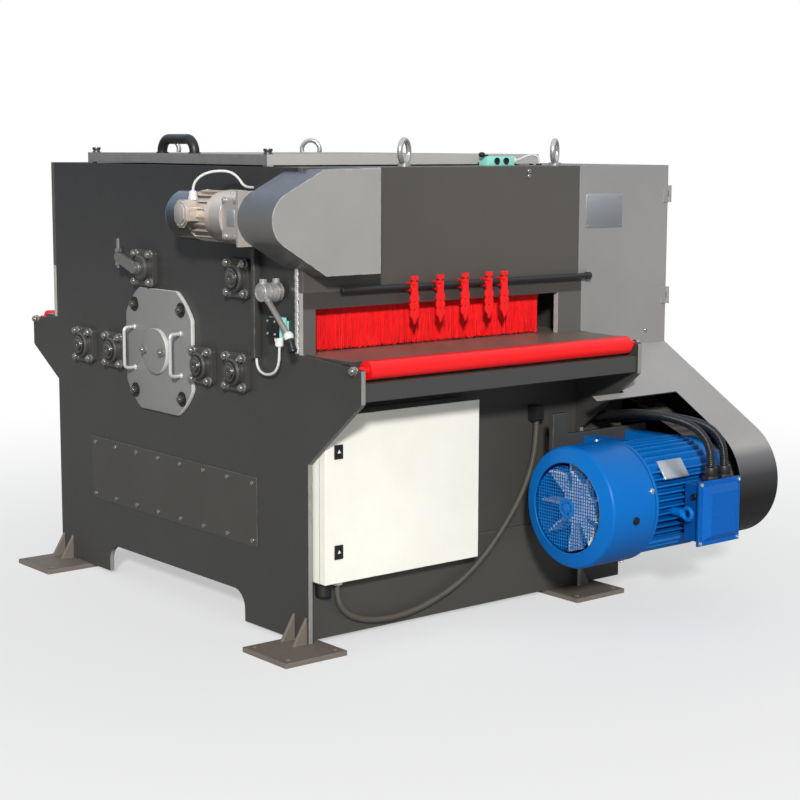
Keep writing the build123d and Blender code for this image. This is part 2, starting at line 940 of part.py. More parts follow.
def bearing_places():
    """Axis and bore of each flange bearing, on each side of the machine."""
    shafts = [(y, lower_roller_z) for y in lower_roller_y] + [(y, pivot_z) for y in pivot_y]
    places = []
    for y, z in shafts:
        places.append((0, y, z, -1, roller_shaft_radius))
        places.append((frame_width, y, z, 1, roller_shaft_radius))
    places.append((frame_width, arbor_y, arbor_z, 1, journal_radius))
    places.append((frame_width, angle_gearbox_y, drive_z, 1, angle_shaft_radius))
    return places


def bearing_housings():
    """The flange bearings of rollers, pivots, arbor and cross shaft."""
    return [flange_bearing(*place) for place in bearing_places()]


def sprocket_x(y, z, x):
    """A plain sprocket disc centred on a chain's line along X."""
    return rod_x(y, z, feed_sprocket_radius, *around(x, sprocket_width))


def grooved_barrel(y, z, x0, x1):
    """A feed roller's barrel with its lengthwise grooves."""
    barrel = Circle(feed_roller_radius)
    groove = Pos(feed_roller_radius, 0) * Rectangle(2 * groove_depth, groove_width)
    barrel -= [Rot(0, 0, 360 * step / groove_count) * groove for step in range(groove_count)]
    return slab_x(Pos(y, z) * barrel, x0, x1)


def lower_feed_roller(index):
    """A driven roller below the board, with its shaft and its chain sprockets."""
    y = lower_roller_y[index]
    ends = inset((plate_thickness, right_plate_x), roller_end_gap)
    body = grooved_barrel(y, lower_roller_z, *ends)
    chains = [roller_chain_x]
    if index == 0:
        chains.append(feed_chain_x)
    right_end = max(chains) + sprocket_width
    body += rod_x(y, lower_roller_z, roller_shaft_radius, -bearing_reach - shaft_overhang, right_end)
    for x in chains:
        body += sprocket_x(y, lower_roller_z, x)
    return body


def arm_spans():
    """The two places across the machine where swing arms stand."""
    left = plate_thickness + arm_inset
    right = right_plate_x - arm_inset
    return ((left, left + arm_thickness), (right - arm_thickness, right))


def swing_arm(index):
    """A pivot shaft with two welded arms. The rear one also has the stop arm and screw at its left end."""
    y = pivot_y[index]
    overhang = bearing_reach + shaft_overhang
    shaft = rod_x(y, pivot_z, roller_shaft_radius, -overhang, frame_width + overhang)
    pin_y = y + swing_reach
    arm = make_hull(
        (Pos(y, pivot_z) * Circle(arm_end_radius)).edges()
        + (Pos(pin_y, pressure_z) * Circle(arm_end_radius)).edges()
    )
    arm -= Pos(pin_y, pressure_z) * Circle(pressure_pin_radius + running_gap)
    for span in arm_spans():
        shaft += slab_x(arm, *span)
    if index == 0:
        return shaft
    stop_y = y + stop_arm_reach
    stop_z = pivot_z + stop_arm_rise
    stop_arm = make_hull(
        (Pos(y, pivot_z) * Circle(stop_arm_width / 2)).edges()
        + (Pos(stop_y, stop_z) * Circle(stop_arm_width / 2)).edges()
    )
    outer = -overhang
    shaft += slab_x(stop_arm, outer - stop_arm_thickness, outer)
    middle = outer - stop_arm_thickness / 2
    screw = rod_z(middle, stop_y, stop_screw_radius, stop_z - stop_screw_low, stop_z + stop_screw_high)
    for z in (stop_z + stop_arm_width / 2, stop_z - stop_arm_width / 2 - bolt_height):
        screw += Pos(middle, stop_y, z) * extrude(RegularPolygon(bolt_width / sqrt(3), 6), bolt_height)
    return shaft + screw


def upper_feed_roller(index):
    """A pressure roller that turns on its own pins in the swing arms."""
    y = pivot_y[index] + swing_reach
    left, right = arm_spans()
    body = grooved_barrel(y, pressure_z, left[1] + roller_end_gap, right[0] - roller_end_gap)
    return body + rod_x(y, pressure_z, pressure_pin_radius, left[0], right[1])


def idler_roller(y):
    """A red idler roller at the edge of a table, on pins in the ears of the side plates."""
    left = plate_thickness + sliding_gap
    right = right_plate_x - sliding_gap
    body = rod_x(y, idler_z, idler_radius, plate_thickness + idler_end_gap, right_plate_x - idler_end_gap)
    body += rod_x(y, idler_z, idler_stub_radius, left, right)
    return body + rod_x(y, idler_z, idler_pin_radius, sliding_gap, frame_width - sliding_gap)


def grooved_pulley(y, z, radius, hub):
    """A pulley with a groove for each belt."""
    right = pulley_left + belt_count * belt_pitch
    body = rod_x(y, z, radius, pulley_left, right)
    body += rod_x(y, z, hub, pulley_left - belt_pitch / 2, right)
    for number in range(belt_count):
        middle = pulley_left + (number + 0.5) * belt_pitch
        groove = around(middle, belt_width + 2 * groove_side_gap)
        body -= rod_x(y, z, radius + belt_depth, *groove) - rod_x(y, z, radius - belt_depth, *groove)
    return body


def arbor_shaft():
    """The saw arbor with its spacer sleeves between the blades and its belt pulley."""
    right = pulley_left + belt_count * belt_pitch
    shaft = rod_x(arbor_y, arbor_z, journal_radius, -arbor_end_inset, right)
    sleeve_left = plate_thickness + arm_inset
    sleeve_right = right_plate_x - arm_inset
    edges = [sleeve_left]
    for x in blade_x:
        edges += around(x, blade_thickness)
    edges.append(sleeve_right)
    shaft += rod_x(arbor_y, arbor_z, arbor_radius, sleeve_left, sleeve_right)
    for start, end in zip(edges[0::2], edges[1::2]):
        shaft += rod_x(arbor_y, arbor_z, spacer_radius, start, end)
    return shaft + grooved_pulley(arbor_y, arbor_z, arbor_pulley_radius, spacer_radius)


def saw_blades():
    """Circular saw blades, each a toothed disc on the arbor between two spacers."""
    inner = blade_radius - tooth_depth
    points = []
    for tooth in range(blade_teeth):
        start = 2 * pi * tooth / blade_teeth
        step = 2 * pi / blade_teeth
        for turn, rise in tooth_shape:
            angle = start + turn * step
            radius = inner + rise * tooth_depth
            points.append((radius * cos(angle), radius * sin(angle)))
    disc = outline(*points) - Circle(arbor_radius + running_gap)
    placed = Pos(arbor_y, arbor_z) * disc
    return [slab_x(placed, *around(x, blade_thickness)) for x in blade_x]


def arbor_cover():
    """The round cover with flats over the arbor's left bearing, its cap and two bow handles."""
    disc = Circle(cover_radius) & Rectangle(cover_width, cover_width)
    face = -cover_thickness
    cover = slab_x(Pos(arbor_y, arbor_z) * disc, face, 0)
    cover += rod_x(arbor_y, arbor_z, cover_spigot_radius, 0, plate_thickness)
    cover -= rod_x(arbor_y, arbor_z, journal_radius + running_gap, 2 * face, 2 * plate_thickness)
    cap = rod_x(arbor_y, arbor_z, cap_radius, face - cap_thickness, face)
    cap = chamfer(cap.faces().sort_by(Axis.X)[0].edges(), cap_thickness / 5)
    handles = []
    for side in (-1, 1):
        y = arbor_y + side * cover_handle_spread / 2
        start, end = [(face, y, z) for z in around(arbor_z, cover_handle_length)]
        reach = (-cover_handle_reach, 0, 0)
        handles.append(bow_handle(start, end, reach, cover_handle_radius, cover_handle_bend))
    return [cover, cap] + handles


def kickback_lever():
    """The hand lever and its cross shaft, with the row of anti-kickback fingers hanging from it."""
    shaft = rod_x(kick_y, kick_z, kick_radius, -lever_hub_inner, frame_width)
    tip_z = table_height + finger_tip_gap
    tip_y = kick_y + finger_reach_y
    boss = (Pos(kick_y, kick_z) * Circle(finger_boss_radius)).edges()
    toe = Polyline(
        (tip_y, tip_z), (tip_y + finger_tip_width, tip_z), (tip_y, tip_z + finger_tip_width), close=True
    )
    finger = make_hull(boss + toe.edges())
    first = plate_thickness + finger_inset
    last = right_plate_x - finger_inset
    for number in range(finger_count):
        x = first + (last - first) * number / (finger_count - 1)
        shaft += slab_x(finger, *around(x, finger_thickness))
    hub = rod_x(kick_y, kick_z, lever_hub_radius, -lever_hub_outer, -lever_hub_inner)
    hub = chamfer(hub.faces().sort_by(Axis.X)[0].edges(), lever_hub_chamfer)
    clamp_top = kick_z + lever_hub_radius + bolt_height
    for x in (lever_x, lever_x + 2 * lever_hub_inner + bolt_width):
        hub += rod_z(x, kick_y, bolt_width / 2, kick_z, clamp_top)
    centre = Vector(lever_x, kick_y, kick_z)
    ball = Vector(lever_x, lever_ball_y, lever_ball_z)
    grip = Vector(lever_x, lever_grip_y, lever_grip_z)
    arm = sweep(Plane(origin=centre, z_dir=ball - centre) * Circle(lever_rod_radius), path=Line(centre, ball))
    handle = sweep(Plane(origin=ball, z_dir=grip - ball) * Circle(lever_grip_radius), path=Line(ball, grip))
    handle = fillet(handle.edges().sort_by(Axis.Z)[0], lever_grip_radius - lever_grip_flat)
    lever = hub + arm + handle + Pos(ball) * Sphere(lever_ball_radius)
    return [shaft, lever]


# Feed drive
def drive_cover():
    """The rounded cover over the first feed chain, open towards the hood and the gear motor's bracket."""
    nose = (drive_x, drive_z)
    corners = Polyline(
        drive_top_corner, (drive_cover_right, frame_height), (drive_cover_right, drive_cover_low),
        drive_bottom_corner, close=True,
    )

    def shape(inset):
        circle = Pos(*nose) * Circle(drive_nose_radius - inset)
        whole = make_hull((Pos(*nose) * Circle(drive_nose_radius)).edges() + corners.edges())
        if inset == 0:
            return whole
        return offset(whole, -inset) + circle

    body = slab_y(shape(0), drive_cover_front, drive_cover_back)
    body -= slab_y(shape(drive_cover_sheet), drive_cover_front + drive_cover_sheet, drive_cover_back)
    behind = block((0, frame_width), (panel_front, frame_depth), (0, frame_height + lid_height))
    return body - behind


def gear_housings():
    """The gear motor's bracket and reducer, and the angle gearbox behind the hood front."""
    bracket_back = drive_cover_back + bracket_thickness
    rows = around(drive_z, bracket_height)
    bracket = block((drive_x - bracket_height / 2, 0), (drive_cover_back, bracket_back), rows)
    bracket -= rod_y(drive_x, drive_z, drive_shaft_radius + shaft_hole_gap, drive_cover_front, reducer_back)
    reducer = block(
        around(drive_x, reducer_size), (bracket_back, reducer_back), around(drive_z, reducer_size)
    )
    reducer = fillet(reducer.edges().filter_by(Axis.Y), reducer_size / 8)
    reducer += rod_y(drive_x, drive_z, reducer_flange_radius, reducer_back, reducer_flange_back)
    socket_end = bracket_back + drive_shaft_depth + panel_gap
    reducer -= rod_y(drive_x, drive_z, drive_shaft_radius + running_gap, bracket_back, socket_end)
    depth = around(angle_gearbox_y, angle_gearbox_size)
    right = driven_x + angle_gearbox_size / 2
    gearbox = block((plate_thickness, right), depth, around(drive_z, angle_gearbox_size))
    gearbox = fillet(gearbox.edges().filter_by(Axis.Y), angle_gearbox_size / 10)
    bore = angle_shaft_radius + running_gap
    gearbox -= rod_y(driven_x, drive_z, bore, depth[0], depth[0] + angle_shaft_depth)
    gearbox -= rod_x(angle_gearbox_y, drive_z, bore, right - angle_shaft_depth, right)
    return [bracket, reducer, gearbox]


def feed_motor():
    """The gear motor: finned body, fan cover and octagonal terminal box."""
    fins = Circle(feed_motor_radius)
    fin = Pos(feed_motor_radius, 0) * Rectangle(2 * feed_fin_height, sheet)
    fins += [Rot(0, 0, 360 * step / feed_fin_count) * fin for step in range(feed_fin_count)]
    place = Pos(drive_x, drive_z)
    body = slab_y(place * fins, feed_motor_front, feed_fan_front)
    body += rod_y(drive_x, drive_z, reducer_flange_radius - sheet, reducer_flange_back, feed_motor_front)
    fan = rod_y(drive_x, drive_z, feed_fan_radius, feed_fan_front, feed_motor_back)
    body += fillet(fan.faces().sort_by(Axis.Y)[-1].edges(), feed_fan_radius / 5)
    middle_y = sum(feed_terminal_y) / 2
    lid = Rectangle(feed_terminal_y[1] - feed_terminal_y[0], feed_terminal_height)
    lid = chamfer(lid.vertices(), feed_terminal_corner)
    middle_z = drive_z + feed_terminal_rise
    body += slab_x(Pos(middle_y, middle_z) * lid, feed_terminal_left, drive_x)
    return body


def feed_input_sprocket():
    """The small sprocket on the gear motor's shaft."""
    shaft_end = drive_cover_back + bracket_thickness + drive_shaft_depth
    sprocket = rod_y(drive_x, drive_z, drive_sprocket_radius, *around(drive_chain_y, sprocket_width))
    return sprocket + rod_y(drive_x, drive_z, drive_shaft_radius, drive_chain_y - sprocket_width, shaft_end)


def feed_driven_sprocket():
    """The large sprocket on the angle gearbox's input shaft."""
    shaft_end = angle_gearbox_y - angle_gearbox_size / 2 + angle_shaft_depth - sliding_gap
    sprocket = rod_y(driven_x, drive_z, driven_sprocket_radius, *around(drive_chain_y, sprocket_width))
    return sprocket + rod_y(driven_x, drive_z, angle_shaft_radius, drive_chain_y - sprocket_width, shaft_end)


def cross_shaft():
    """The shaft from the angle gearbox across the machine to the feed chains."""
    start = driven_x + angle_gearbox_size / 2 - angle_shaft_depth + sliding_gap
    shaft = rod_x(angle_gearbox_y, drive_z, angle_shaft_radius, start, feed_chain_x + sprocket_width)
    return shaft + sprocket_x(angle_gearbox_y, drive_z, feed_chain_x)


def belts_and_chains():
    """The V-belts from motor to arbor and the three feed chains, as plain closed loops."""
    pieces = []
    motor_ring = motor_pulley_radius + sliding_gap - belt_depth
    arbor_ring = arbor_pulley_radius + sliding_gap - belt_depth
    loop = belt_loop((motor_y, motor_z), motor_ring, (arbor_y, arbor_z), arbor_ring, belt_depth)
    for number in range(belt_count):
        middle = pulley_left + (number + 0.5) * belt_pitch
        pieces.append(slab_x(loop, *around(middle, belt_width)))
    first = belt_loop(
        (drive_x, drive_z), drive_sprocket_radius + sliding_gap, (driven_x, drive_z),
        driven_sprocket_radius + sliding_gap, chain_thickness,
    )
    pieces.append(slab_y(first, *around(drive_chain_y, chain_width)))
    ring = feed_sprocket_radius + sliding_gap
    front = (lower_roller_y[0], lower_roller_z)
    second = belt_loop((angle_gearbox_y, drive_z), ring, front, ring, chain_thickness)
    pieces.append(slab_x(second, *around(feed_chain_x, chain_width)))
    third = belt_loop(front, ring, (lower_roller_y[-1], lower_roller_z), ring, chain_thickness)
    pieces.append(slab_x(third, *around(roller_chain_x, chain_width)))
    return pieces


# Belt housing and guard
def belt_housing():
    """The sheet housing on the right plate over belts and chains, with the fixed halves of its hinges."""
    body = block((frame_width, housing_right), (panel_front, housing_back), (housing_low, frame_height))
    body -= block(
        (frame_width, housing_right - sheet), (panel_front + sheet, housing_back - sheet),
        (housing_low + sheet, frame_height - sheet),
    )
    front = (panel_front, panel_front + sheet)
    body += block((right_plate_x, frame_width), front, (lintel_top, frame_height))
    x = inset((guard_left, housing_right), sheet)
    body -= block(x, (front[1], guard_back), (0, housing_low + 2 * sheet))
    body -= block(
        (housing_right - 2 * sheet, housing_right + sheet),
        inset((door_front, door_front + door_length), door_frame),
        inset((door_low, door_low + door_height), door_frame),
    )
    return [body] + [door_hinge_half(low) for low in door_hinge_z]


def door_hinge_axis():
    """Where the belt door's hinge pins stand."""
    return housing_right + hinge_knuckle_radius + sliding_gap, panel_front - hinge_pin_radius


def door_hinge_half(low):
    """A fixed hinge half on the front panel: leaf, two knuckles and the pin."""
    x, y = door_hinge_axis()
    third = door_hinge_height / 3
    left = housing_right - hinge_leaf_width
    depth = (panel_front - sheet, panel_front)
    half = rod_z(x, y, hinge_pin_radius, low, low + door_hinge_height)
    for start in (low, low + 2 * third):
        half += rod_z(x, y, hinge_knuckle_radius, start, start + third)
        half += block((left, x), depth, (start, start + third))
    return half + block((left, housing_right - sheet), depth, (low + third, low + 2 * third))


def belt_door():
    """The hinged door in the housing's right side, with a latch knob near its rear edge."""
    face = housing_right + sliding_gap
    rows = (door_low, door_low + door_height)
    door = block((face, face + sheet), (door_front, door_front + door_length), rows)
    x, y = door_hinge_axis()
    third = door_hinge_height / 3
    for low in door_hinge_z:
        span = (low + third + sliding_gap, low + 2 * third - sliding_gap)
        tab = block((face + sliding_gap, face + sheet), (y, door_front + 2 * sheet), span)
        knuckle = rod_z(x, y, hinge_knuckle_radius, *span)
        door += tab + knuckle
        door -= rod_z(x, y, hinge_pin_radius + running_gap, *span)
    knob_y = door_front + door_length - door_frame
    knob_z = door_low + door_height / 2
    door += rod_x(knob_y, knob_z, knob_radius, face + sheet, face + sheet + knob_height)
    return door


def belt_guard():
    """The guard round the belts in front of the housing: nose band, right wall and the wide sheet."""
    nose = Pos(guard_nose_y, guard_nose_z) * Circle(guard_nose_radius)
    roof = Polyline(
        (panel_front, housing_front_low), (guard_back, housing_low), (panel_front, housing_low), close=True
    )
    whole = make_hull(nose.edges() + roof.edges())
    inner = offset(whole, -guard_sheet)
    body = slab_x(whole, guard_left, housing_right)
    body -= slab_x(inner, guard_left, housing_right - guard_sheet)
    behind = block((0, housing_right), (panel_front, frame_depth), (housing_low, frame_height))
    body -= behind
    slope = guard_slope()
    front = -wide_sheet_front
    low_z = housing_front_low - (panel_front - front) * slope

    def sloped(back):
        back_z = low_z + (back - front) * slope
        return outline(
            (back, back_z), (front, low_z), (front, low_z - guard_sheet), (back, back_z - guard_sheet)
        )

    wide = slab_x(sloped(panel_front), frame_width, guard_left - sliding_gap)
    tongue = slab_x(sloped(front + wide_sheet_tongue), wide_sheet_tip_x, frame_width)
    return [body, wide + tongue]


def guard_slope():
    """How steeply the guard's straight top falls from the housing to its nose."""
    down = housing_front_low - guard_nose_z
    along = panel_front - guard_nose_y
    distance = sqrt(down**2 + along**2)
    reach = sqrt(distance**2 - guard_nose_radius**2)
    return (down * reach - along * guard_nose_radius) / (along * reach + down * guard_nose_radius)


# Main motor
def motor_frame():
    """The main motor's finned frame with its feet, end shield, terminal pad and lifting eye."""
    fins = Circle(motor_core_radius)
    count = int(motor_fin_span / motor_fin_pitch)
    for step in range(-count, count + 1):
        at = step * motor_fin_pitch
        fins += Pos(0, at) * Rectangle(2 * motor_fin_radius, motor_fin_sheet)
        fins += Pos(at, 0) * Rectangle(motor_fin_sheet, 2 * motor_fin_radius)
    fins &= Circle(motor_fin_radius)
    place = Pos(motor_y, motor_z)
    start = fan_cover_left + fan_cover_length
    body = slab_x(place * fins, start, motor_body_end)
    body += rod_x(motor_y, motor_z, fan_cover_radius, start, start + motor_flange_thickness)
    shield = rod_x(motor_y, motor_z, motor_shield_radius, motor_body_end, motor_shield_end)
    body += chamfer(shield.faces().sort_by(Axis.X)[-1].edges(), motor_flange_thickness)
    for x in motor_foot_x:
        for side in (-1, 1):
            rows = around(motor_z + side * motor_foot_spread, motor_foot_width)
            body += block((x, x + motor_foot_length), (motor_y, motor_foot_y), rows)
    pad = terminal_margin + motor_pad_margin
    pad_x = inset((terminal_left, terminal_left + terminal_width), pad)
    pad_z = inset((terminal_low, terminal_low + terminal_height), pad)
    body += block(pad_x, (terminal_back, motor_y), pad_z)
    eye_z = motor_z - motor_eye_drop
    eye_y = motor_y - motor_fin_radius - motor_eye_rise
    ring = Rot(0, 90, 0) * Torus(motor_eye_ring_radius, motor_eye_wire_radius)
    body += rod_y(motor_eye_x, eye_z, motor_eye_collar_radius, eye_y, motor_y)
    body += Pos(motor_eye_x, eye_y - motor_eye_ring_radius, eye_z) * ring
    return body - rod_x(motor_y, motor_z, motor_shaft_radius + running_gap, fan_cover_left, motor_shield_end)


def motor_fan_cover():
    """The fan cover: a cup with a rounded rim and a square-holed grille round a blind hub."""
    right = fan_cover_left + fan_cover_length
    cup = rod_x(motor_y, motor_z, fan_cover_radius, fan_cover_left, right)
    cup = fillet(cup.faces().sort_by(Axis.X)[0].edges(), fan_cover_round)
    hollow = rod_x(
        motor_y, motor_z, fan_cover_radius - fan_cover_sheet, fan_cover_left + fan_cover_sheet, right
    )
    hollow = fillet(hollow.faces().sort_by(Axis.X)[0].edges(), fan_cover_round - fan_cover_sheet)
    cup -= hollow
    holes = []
    count = int(grille_radius / grille_pitch)
    for row in range(-count, count + 1):
        for column in range(-count, count + 1):
            y, z = row * grille_pitch, column * grille_pitch
            distance = sqrt(y * y + z * z)
            if grille_hub_radius < distance < grille_radius:
                holes.append(Pos(motor_y + y, motor_z + z) * Rectangle(grille_hole, grille_hole))
    cutter = slab_x(Sketch() + holes, fan_cover_left - fan_cover_sheet, fan_cover_left + 2 * fan_cover_sheet)
    return cup - cutter


def motor_terminal_box():
    """The terminal box on the motor's infeed side, with a flanged lid whose crown is bevelled."""
    x = (terminal_left, terminal_left + terminal_width)
    z = (terminal_low, terminal_low + terminal_height)
    seam = terminal_front + terminal_lid_depth
    base = block(inset(x, terminal_margin), (seam, terminal_back), inset(z, terminal_margin))
    flange = seam - terminal_flange
    crown = block(inset(x, terminal_flange_width), (terminal_front, flange), inset(z, terminal_flange_width))
    crown = chamfer(crown.faces().sort_by(Axis.Y)[0].edges(), terminal_lid_bevel)
    return [base, block(x, (flange, seam), z) + crown]


def motor_rotor():
    """The motor's shaft with its cooling fan and belt pulley."""
    right = pulley_left + belt_count * belt_pitch
    shaft = rod_x(motor_y, motor_z, motor_shaft_radius, fan_left, right)
    shaft += rod_x(motor_y, motor_z, fan_hub_radius, fan_left, fan_left + fan_width)
    blade = block((fan_left, fan_left + fan_width), (0, fan_radius), around(0, fan_blade_sheet))
    for step in range(fan_blades):
        turn = Pos(0, motor_y, motor_z) * Rot(360 * step / fan_blades, 0, 0)
        shaft += turn * blade
    return shaft + grooved_pulley(motor_y, motor_z, motor_pulley_radius, spacer_radius)


# Control cabinet
def cabinet_body():
    """The cabinet's shell, let into the base panel, with lugs and pins for the door's hinges."""
    wall = cabinet_sheet
    inner_x = inset(cabinet_x, cabinet_step + panel_gap)
    inner_z = inset(cabinet_z, cabinet_step + panel_gap)
    shell = block(cabinet_x, (cabinet_front, base_panel_recess), cabinet_z)
    shell += block(inner_x, (cabinet_front, cabinet_back), inner_z)
    shell -= block(inset(inner_x, wall), (cabinet_front, cabinet_back - wall), inset(inner_z, wall))
    floor = base_panel_recess - wall
    shell -= block(inset(cabinet_x, wall), (cabinet_front, floor), inset(cabinet_z, wall))
    axis_x, axis_y = cabinet_hinge_axis()
    for low in cabinet_hinge_z:
        lug_x = around(axis_x, 2 * hinge_knuckle_radius)
        shell += block(lug_x, (axis_y - hinge_knuckle_radius, floor), (low - sheet, low))
        shell += rod_z(axis_x, axis_y, hinge_pin_radius, low, low + cabinet_pin_length)
    return shell


def cabinet_hinge_axis():
    """Where the cabinet door's hinge pins stand."""
    return cabinet_left + cabinet_width - cabinet_hinge_inset, cabinet_door_front + cabinet_hinge_depth


def cabinet_door():
    """The cabinet door: a shallow tray with a hinge eye inside at each pin."""
    wall = cabinet_sheet
    back = cabinet_door_back
    inner_front = cabinet_door_front + wall
    right = cabinet_x[1]
    tray = block(cabinet_x, (cabinet_door_front, back), cabinet_z)
    tray -= block(inset(cabinet_x, wall), (inner_front, back), inset(cabinet_z, wall))
    axis_x, axis_y = cabinet_hinge_axis()
    half = hinge_knuckle_radius
    for low in cabinet_hinge_z:
        span = (low + sliding_gap, low + sliding_gap + cabinet_eye_length)
        tray += block((axis_x - half, right - wall), (inner_front, axis_y), span)
        tray += rod_z(axis_x, axis_y, half, *span)
        tray -= rod_z(axis_x, axis_y, hinge_pin_radius + running_gap, *span)
        notch = (low - sheet - sliding_gap, low + sliding_gap)
        tray -= block((axis_x, right + wall), (axis_y - 2 * half, back), notch)
    bore = lock_radius + running_gap
    for z in lock_z:
        tray -= rod_y(cabinet_left + lock_inset, z, bore, cabinet_door_front - wall, back)
    return tray


def door_lock(z):
    """A quarter-turn door lock: its face outside, its barrel through the door and its cam behind it."""
    x = cabinet_left + lock_inset
    back = cabinet_door_back
    face = cabinet_door_front - sliding_gap
    body = block(around(x, lock_face), (face - sheet, face), around(z, lock_face_height))
    body += rod_y(x, z, lock_radius, face, back)
    cam_x = (x - lock_cam_length, x + lock_radius)
    return body + block(cam_x, (back - 2 * sheet, back), around(z, 2 * lock_radius))


# Switches, glands, duct and screws
def safety_switches():
    """The lever switch on the left plate and the lid switch on the hood, with its plugs and roller lever."""
    x, y, z = lever_switch_x, lever_switch_y, lever_switch_z
    lever_switch = block(x, y, z)
    lever_switch = fillet(lever_switch.edges().filter_by(Axis.X), lever_switch_corner)
    lever_switch += block((x[1], 0), inset(y, switch_pad_inset), inset(z, switch_pad_inset))
    left, right = lid_switch_x
    front = lid_switch_y[0]
    top = frame_height + lid_switch_height
    lid_switch = block(lid_switch_x, lid_switch_y, (frame_height, top))
    lid_switch = fillet(lid_switch.edges().filter_by(Axis.X), lid_switch_corner)
    plug_z = frame_height + lid_switch_height / 2
    third = (right - left) / 3
    for plug_x in (left + third, right - third):
        lid_switch += rod_y(plug_x, plug_z, lid_plug_radius, front - sheet, front)
    lever_y = front + switch_pad_inset
    tip = left - lid_lever_reach
    lid_switch += block(
        (tip, left + lid_lever_overlap), around(lever_y, lid_lever_width), (top, top + lid_lever_thickness)
    )
    roller_z = top + lid_lever_thickness
    roller_y = around(lever_y, lid_roller_width)
    lid_switch += rod_y(tip + lid_roller_inset, roller_z, lid_roller_radius, *roller_y)
    return [lever_switch, lid_switch]


def cable_fittings():
    """Glands of the cabinet, motors and switches, the conduit's elbow, grommets and the cable duct."""
    mains = rod_z(mains_gland_x, gland_y(), mains_gland_radius, cabinet_low - mains_gland_length, cabinet_low)
    mains = fillet(mains.faces().sort_by(Axis.Z)[0].edges(), mains_gland_radius / 5)
    pieces = [mains - rod_z(mains_gland_x, gland_y(), mains_gland_bore, 0, cabinet_low)]
    x, y, z = cabinet_route[0]
    pieces.append(rod_z(x, y, conduit_nut_share * cabinet_conduit_radius, z, cabinet_low))
    x, y, z = cabinet_route[-1]
    side = elbow_share * cabinet_conduit_radius
    elbow = block(around(x, 2 * side), (y - side, base_panel_recess), (z, z + 3 * side))
    pieces.append(fillet(elbow.edges().filter_by(Axis.X), side / 3))
    box_top = terminal_low + terminal_height - terminal_margin
    nut_radius = conduit_nut_share * motor_conduit_radius
    for route in (motor_front_route, motor_rear_route):
        x, y, z = route[0]
        pieces.append(Pos(x, y, box_top) * extrude(RegularPolygon(nut_radius, 6), z - box_top))
        x, y, z = route[-1]
        pieces.append(rod_y(x, z, nut_radius, y, base_panel_recess))
    x, y, z = feed_cable_route[0]
    feed_box_top = drive_z + feed_terminal_rise + feed_terminal_height / 2
    pieces.append(rod_z(x, y, lever_gland_radius, feed_box_top, z))
    x, y, z = lever_cable_route[0]
    pieces.append(rod_z(x, y, lever_gland_radius, z, lever_switch_z[0]))
    x, y, z = lid_cable_route[0]
    pieces.append(rod_x(y, z, lid_gland_radius, lid_switch_x[1], x))
    x, y, z = lid_cable_route[-1]
    pieces.append(rod_z(x, y, grommet_radius, frame_height, z))
    pieces.append(block((-duct_depth, 0), duct_y, duct_z))
    return pieces


def gland_y():
    """The middle of the cabinet's floor between its front edge and the base panel."""
    return (cabinet_front + base_panel_recess) / 2


def fasteners():
    """Bolts, rivets and screws that show."""
    pieces = []
    for x, y, z, direction, _ in bearing_places():
        face = x + direction * flange_thickness
        for bolt_y in around(y, flange_bolt_pitch):
            for bolt_z in around(z, flange_bolt_pitch):
                pieces.append(hex_bolt_x(face, bolt_y, bolt_z, direction))
    for bolt_y in around(arbor_y, cover_bolt_pitch):
        for bolt_z in around(arbor_z, cover_bolt_pitch):
            pieces.append(hex_bolt_x(-cover_thickness, bolt_y, bolt_z, -1, big_washer_radius))
    for bolt_y in around(arbor_y, cap_bolt_pitch):
        pieces.append(hex_bolt_x(-cover_thickness - cap_thickness, bolt_y, arbor_z, -1))
    pitch = (side_cover_length - 2 * rivet_inset_y) / (rivet_count - 1)
    for number in range(rivet_count):
        y = side_cover_front + rivet_inset_y + number * pitch
        for z in inset((side_cover_low, side_cover_low + side_cover_height), rivet_inset_z):
            pieces.append(rod_x(y, z, rivet_radius, -side_cover_sheet - rivet_height, -side_cover_sheet))
    for y in idler_places():
        pieces.append(hex_bolt_x(0, y, idler_z, -1))
        pieces.append(hex_bolt_x(frame_width, y, idler_z, 1))
    for x, z in panel_screws:
        pieces.append(cap_screw_y(x, z, panel_front, rivet_radius, rivet_height))
    return pieces + lid_hinge_halves()


# Cords
def corner_radii(points):
    """The largest bend at each inner point of a route that its two runs leave room for."""
    radii = []
    for before, here, after in zip(points, points[1:], points[2:]):
        run_in = Vector(*here) - Vector(*before)
        run_out = Vector(*after) - Vector(*here)
        turn = radians(run_in.get_angle(run_out))
        radii.append(bend_share * min(run_in.length, run_out.length) / tan(turn / 2))
    return radii


def route_path(name, points, radius):
    """A route's line of straight runs and tangent arcs, with its bends printed."""
    radii = corner_radii(points)
    path = FilletPolyline(*points, radius=radii)
    print(name, "length", round(path.length), "tightest bend", round(min(radii)), "diameter", 2 * radius)
    return path


def plain_cord(name, points, radius):
    """A smooth round cable along its route."""
    path = route_path(name, points, radius)
    start = Plane(origin=path @ 0, z_dir=path % 0)
    cord = sweep(start * Circle(radius), path=path)
    print(name, "volume share", round(cord.volume / (pi * radius**2 * path.length), 4))
    return cord


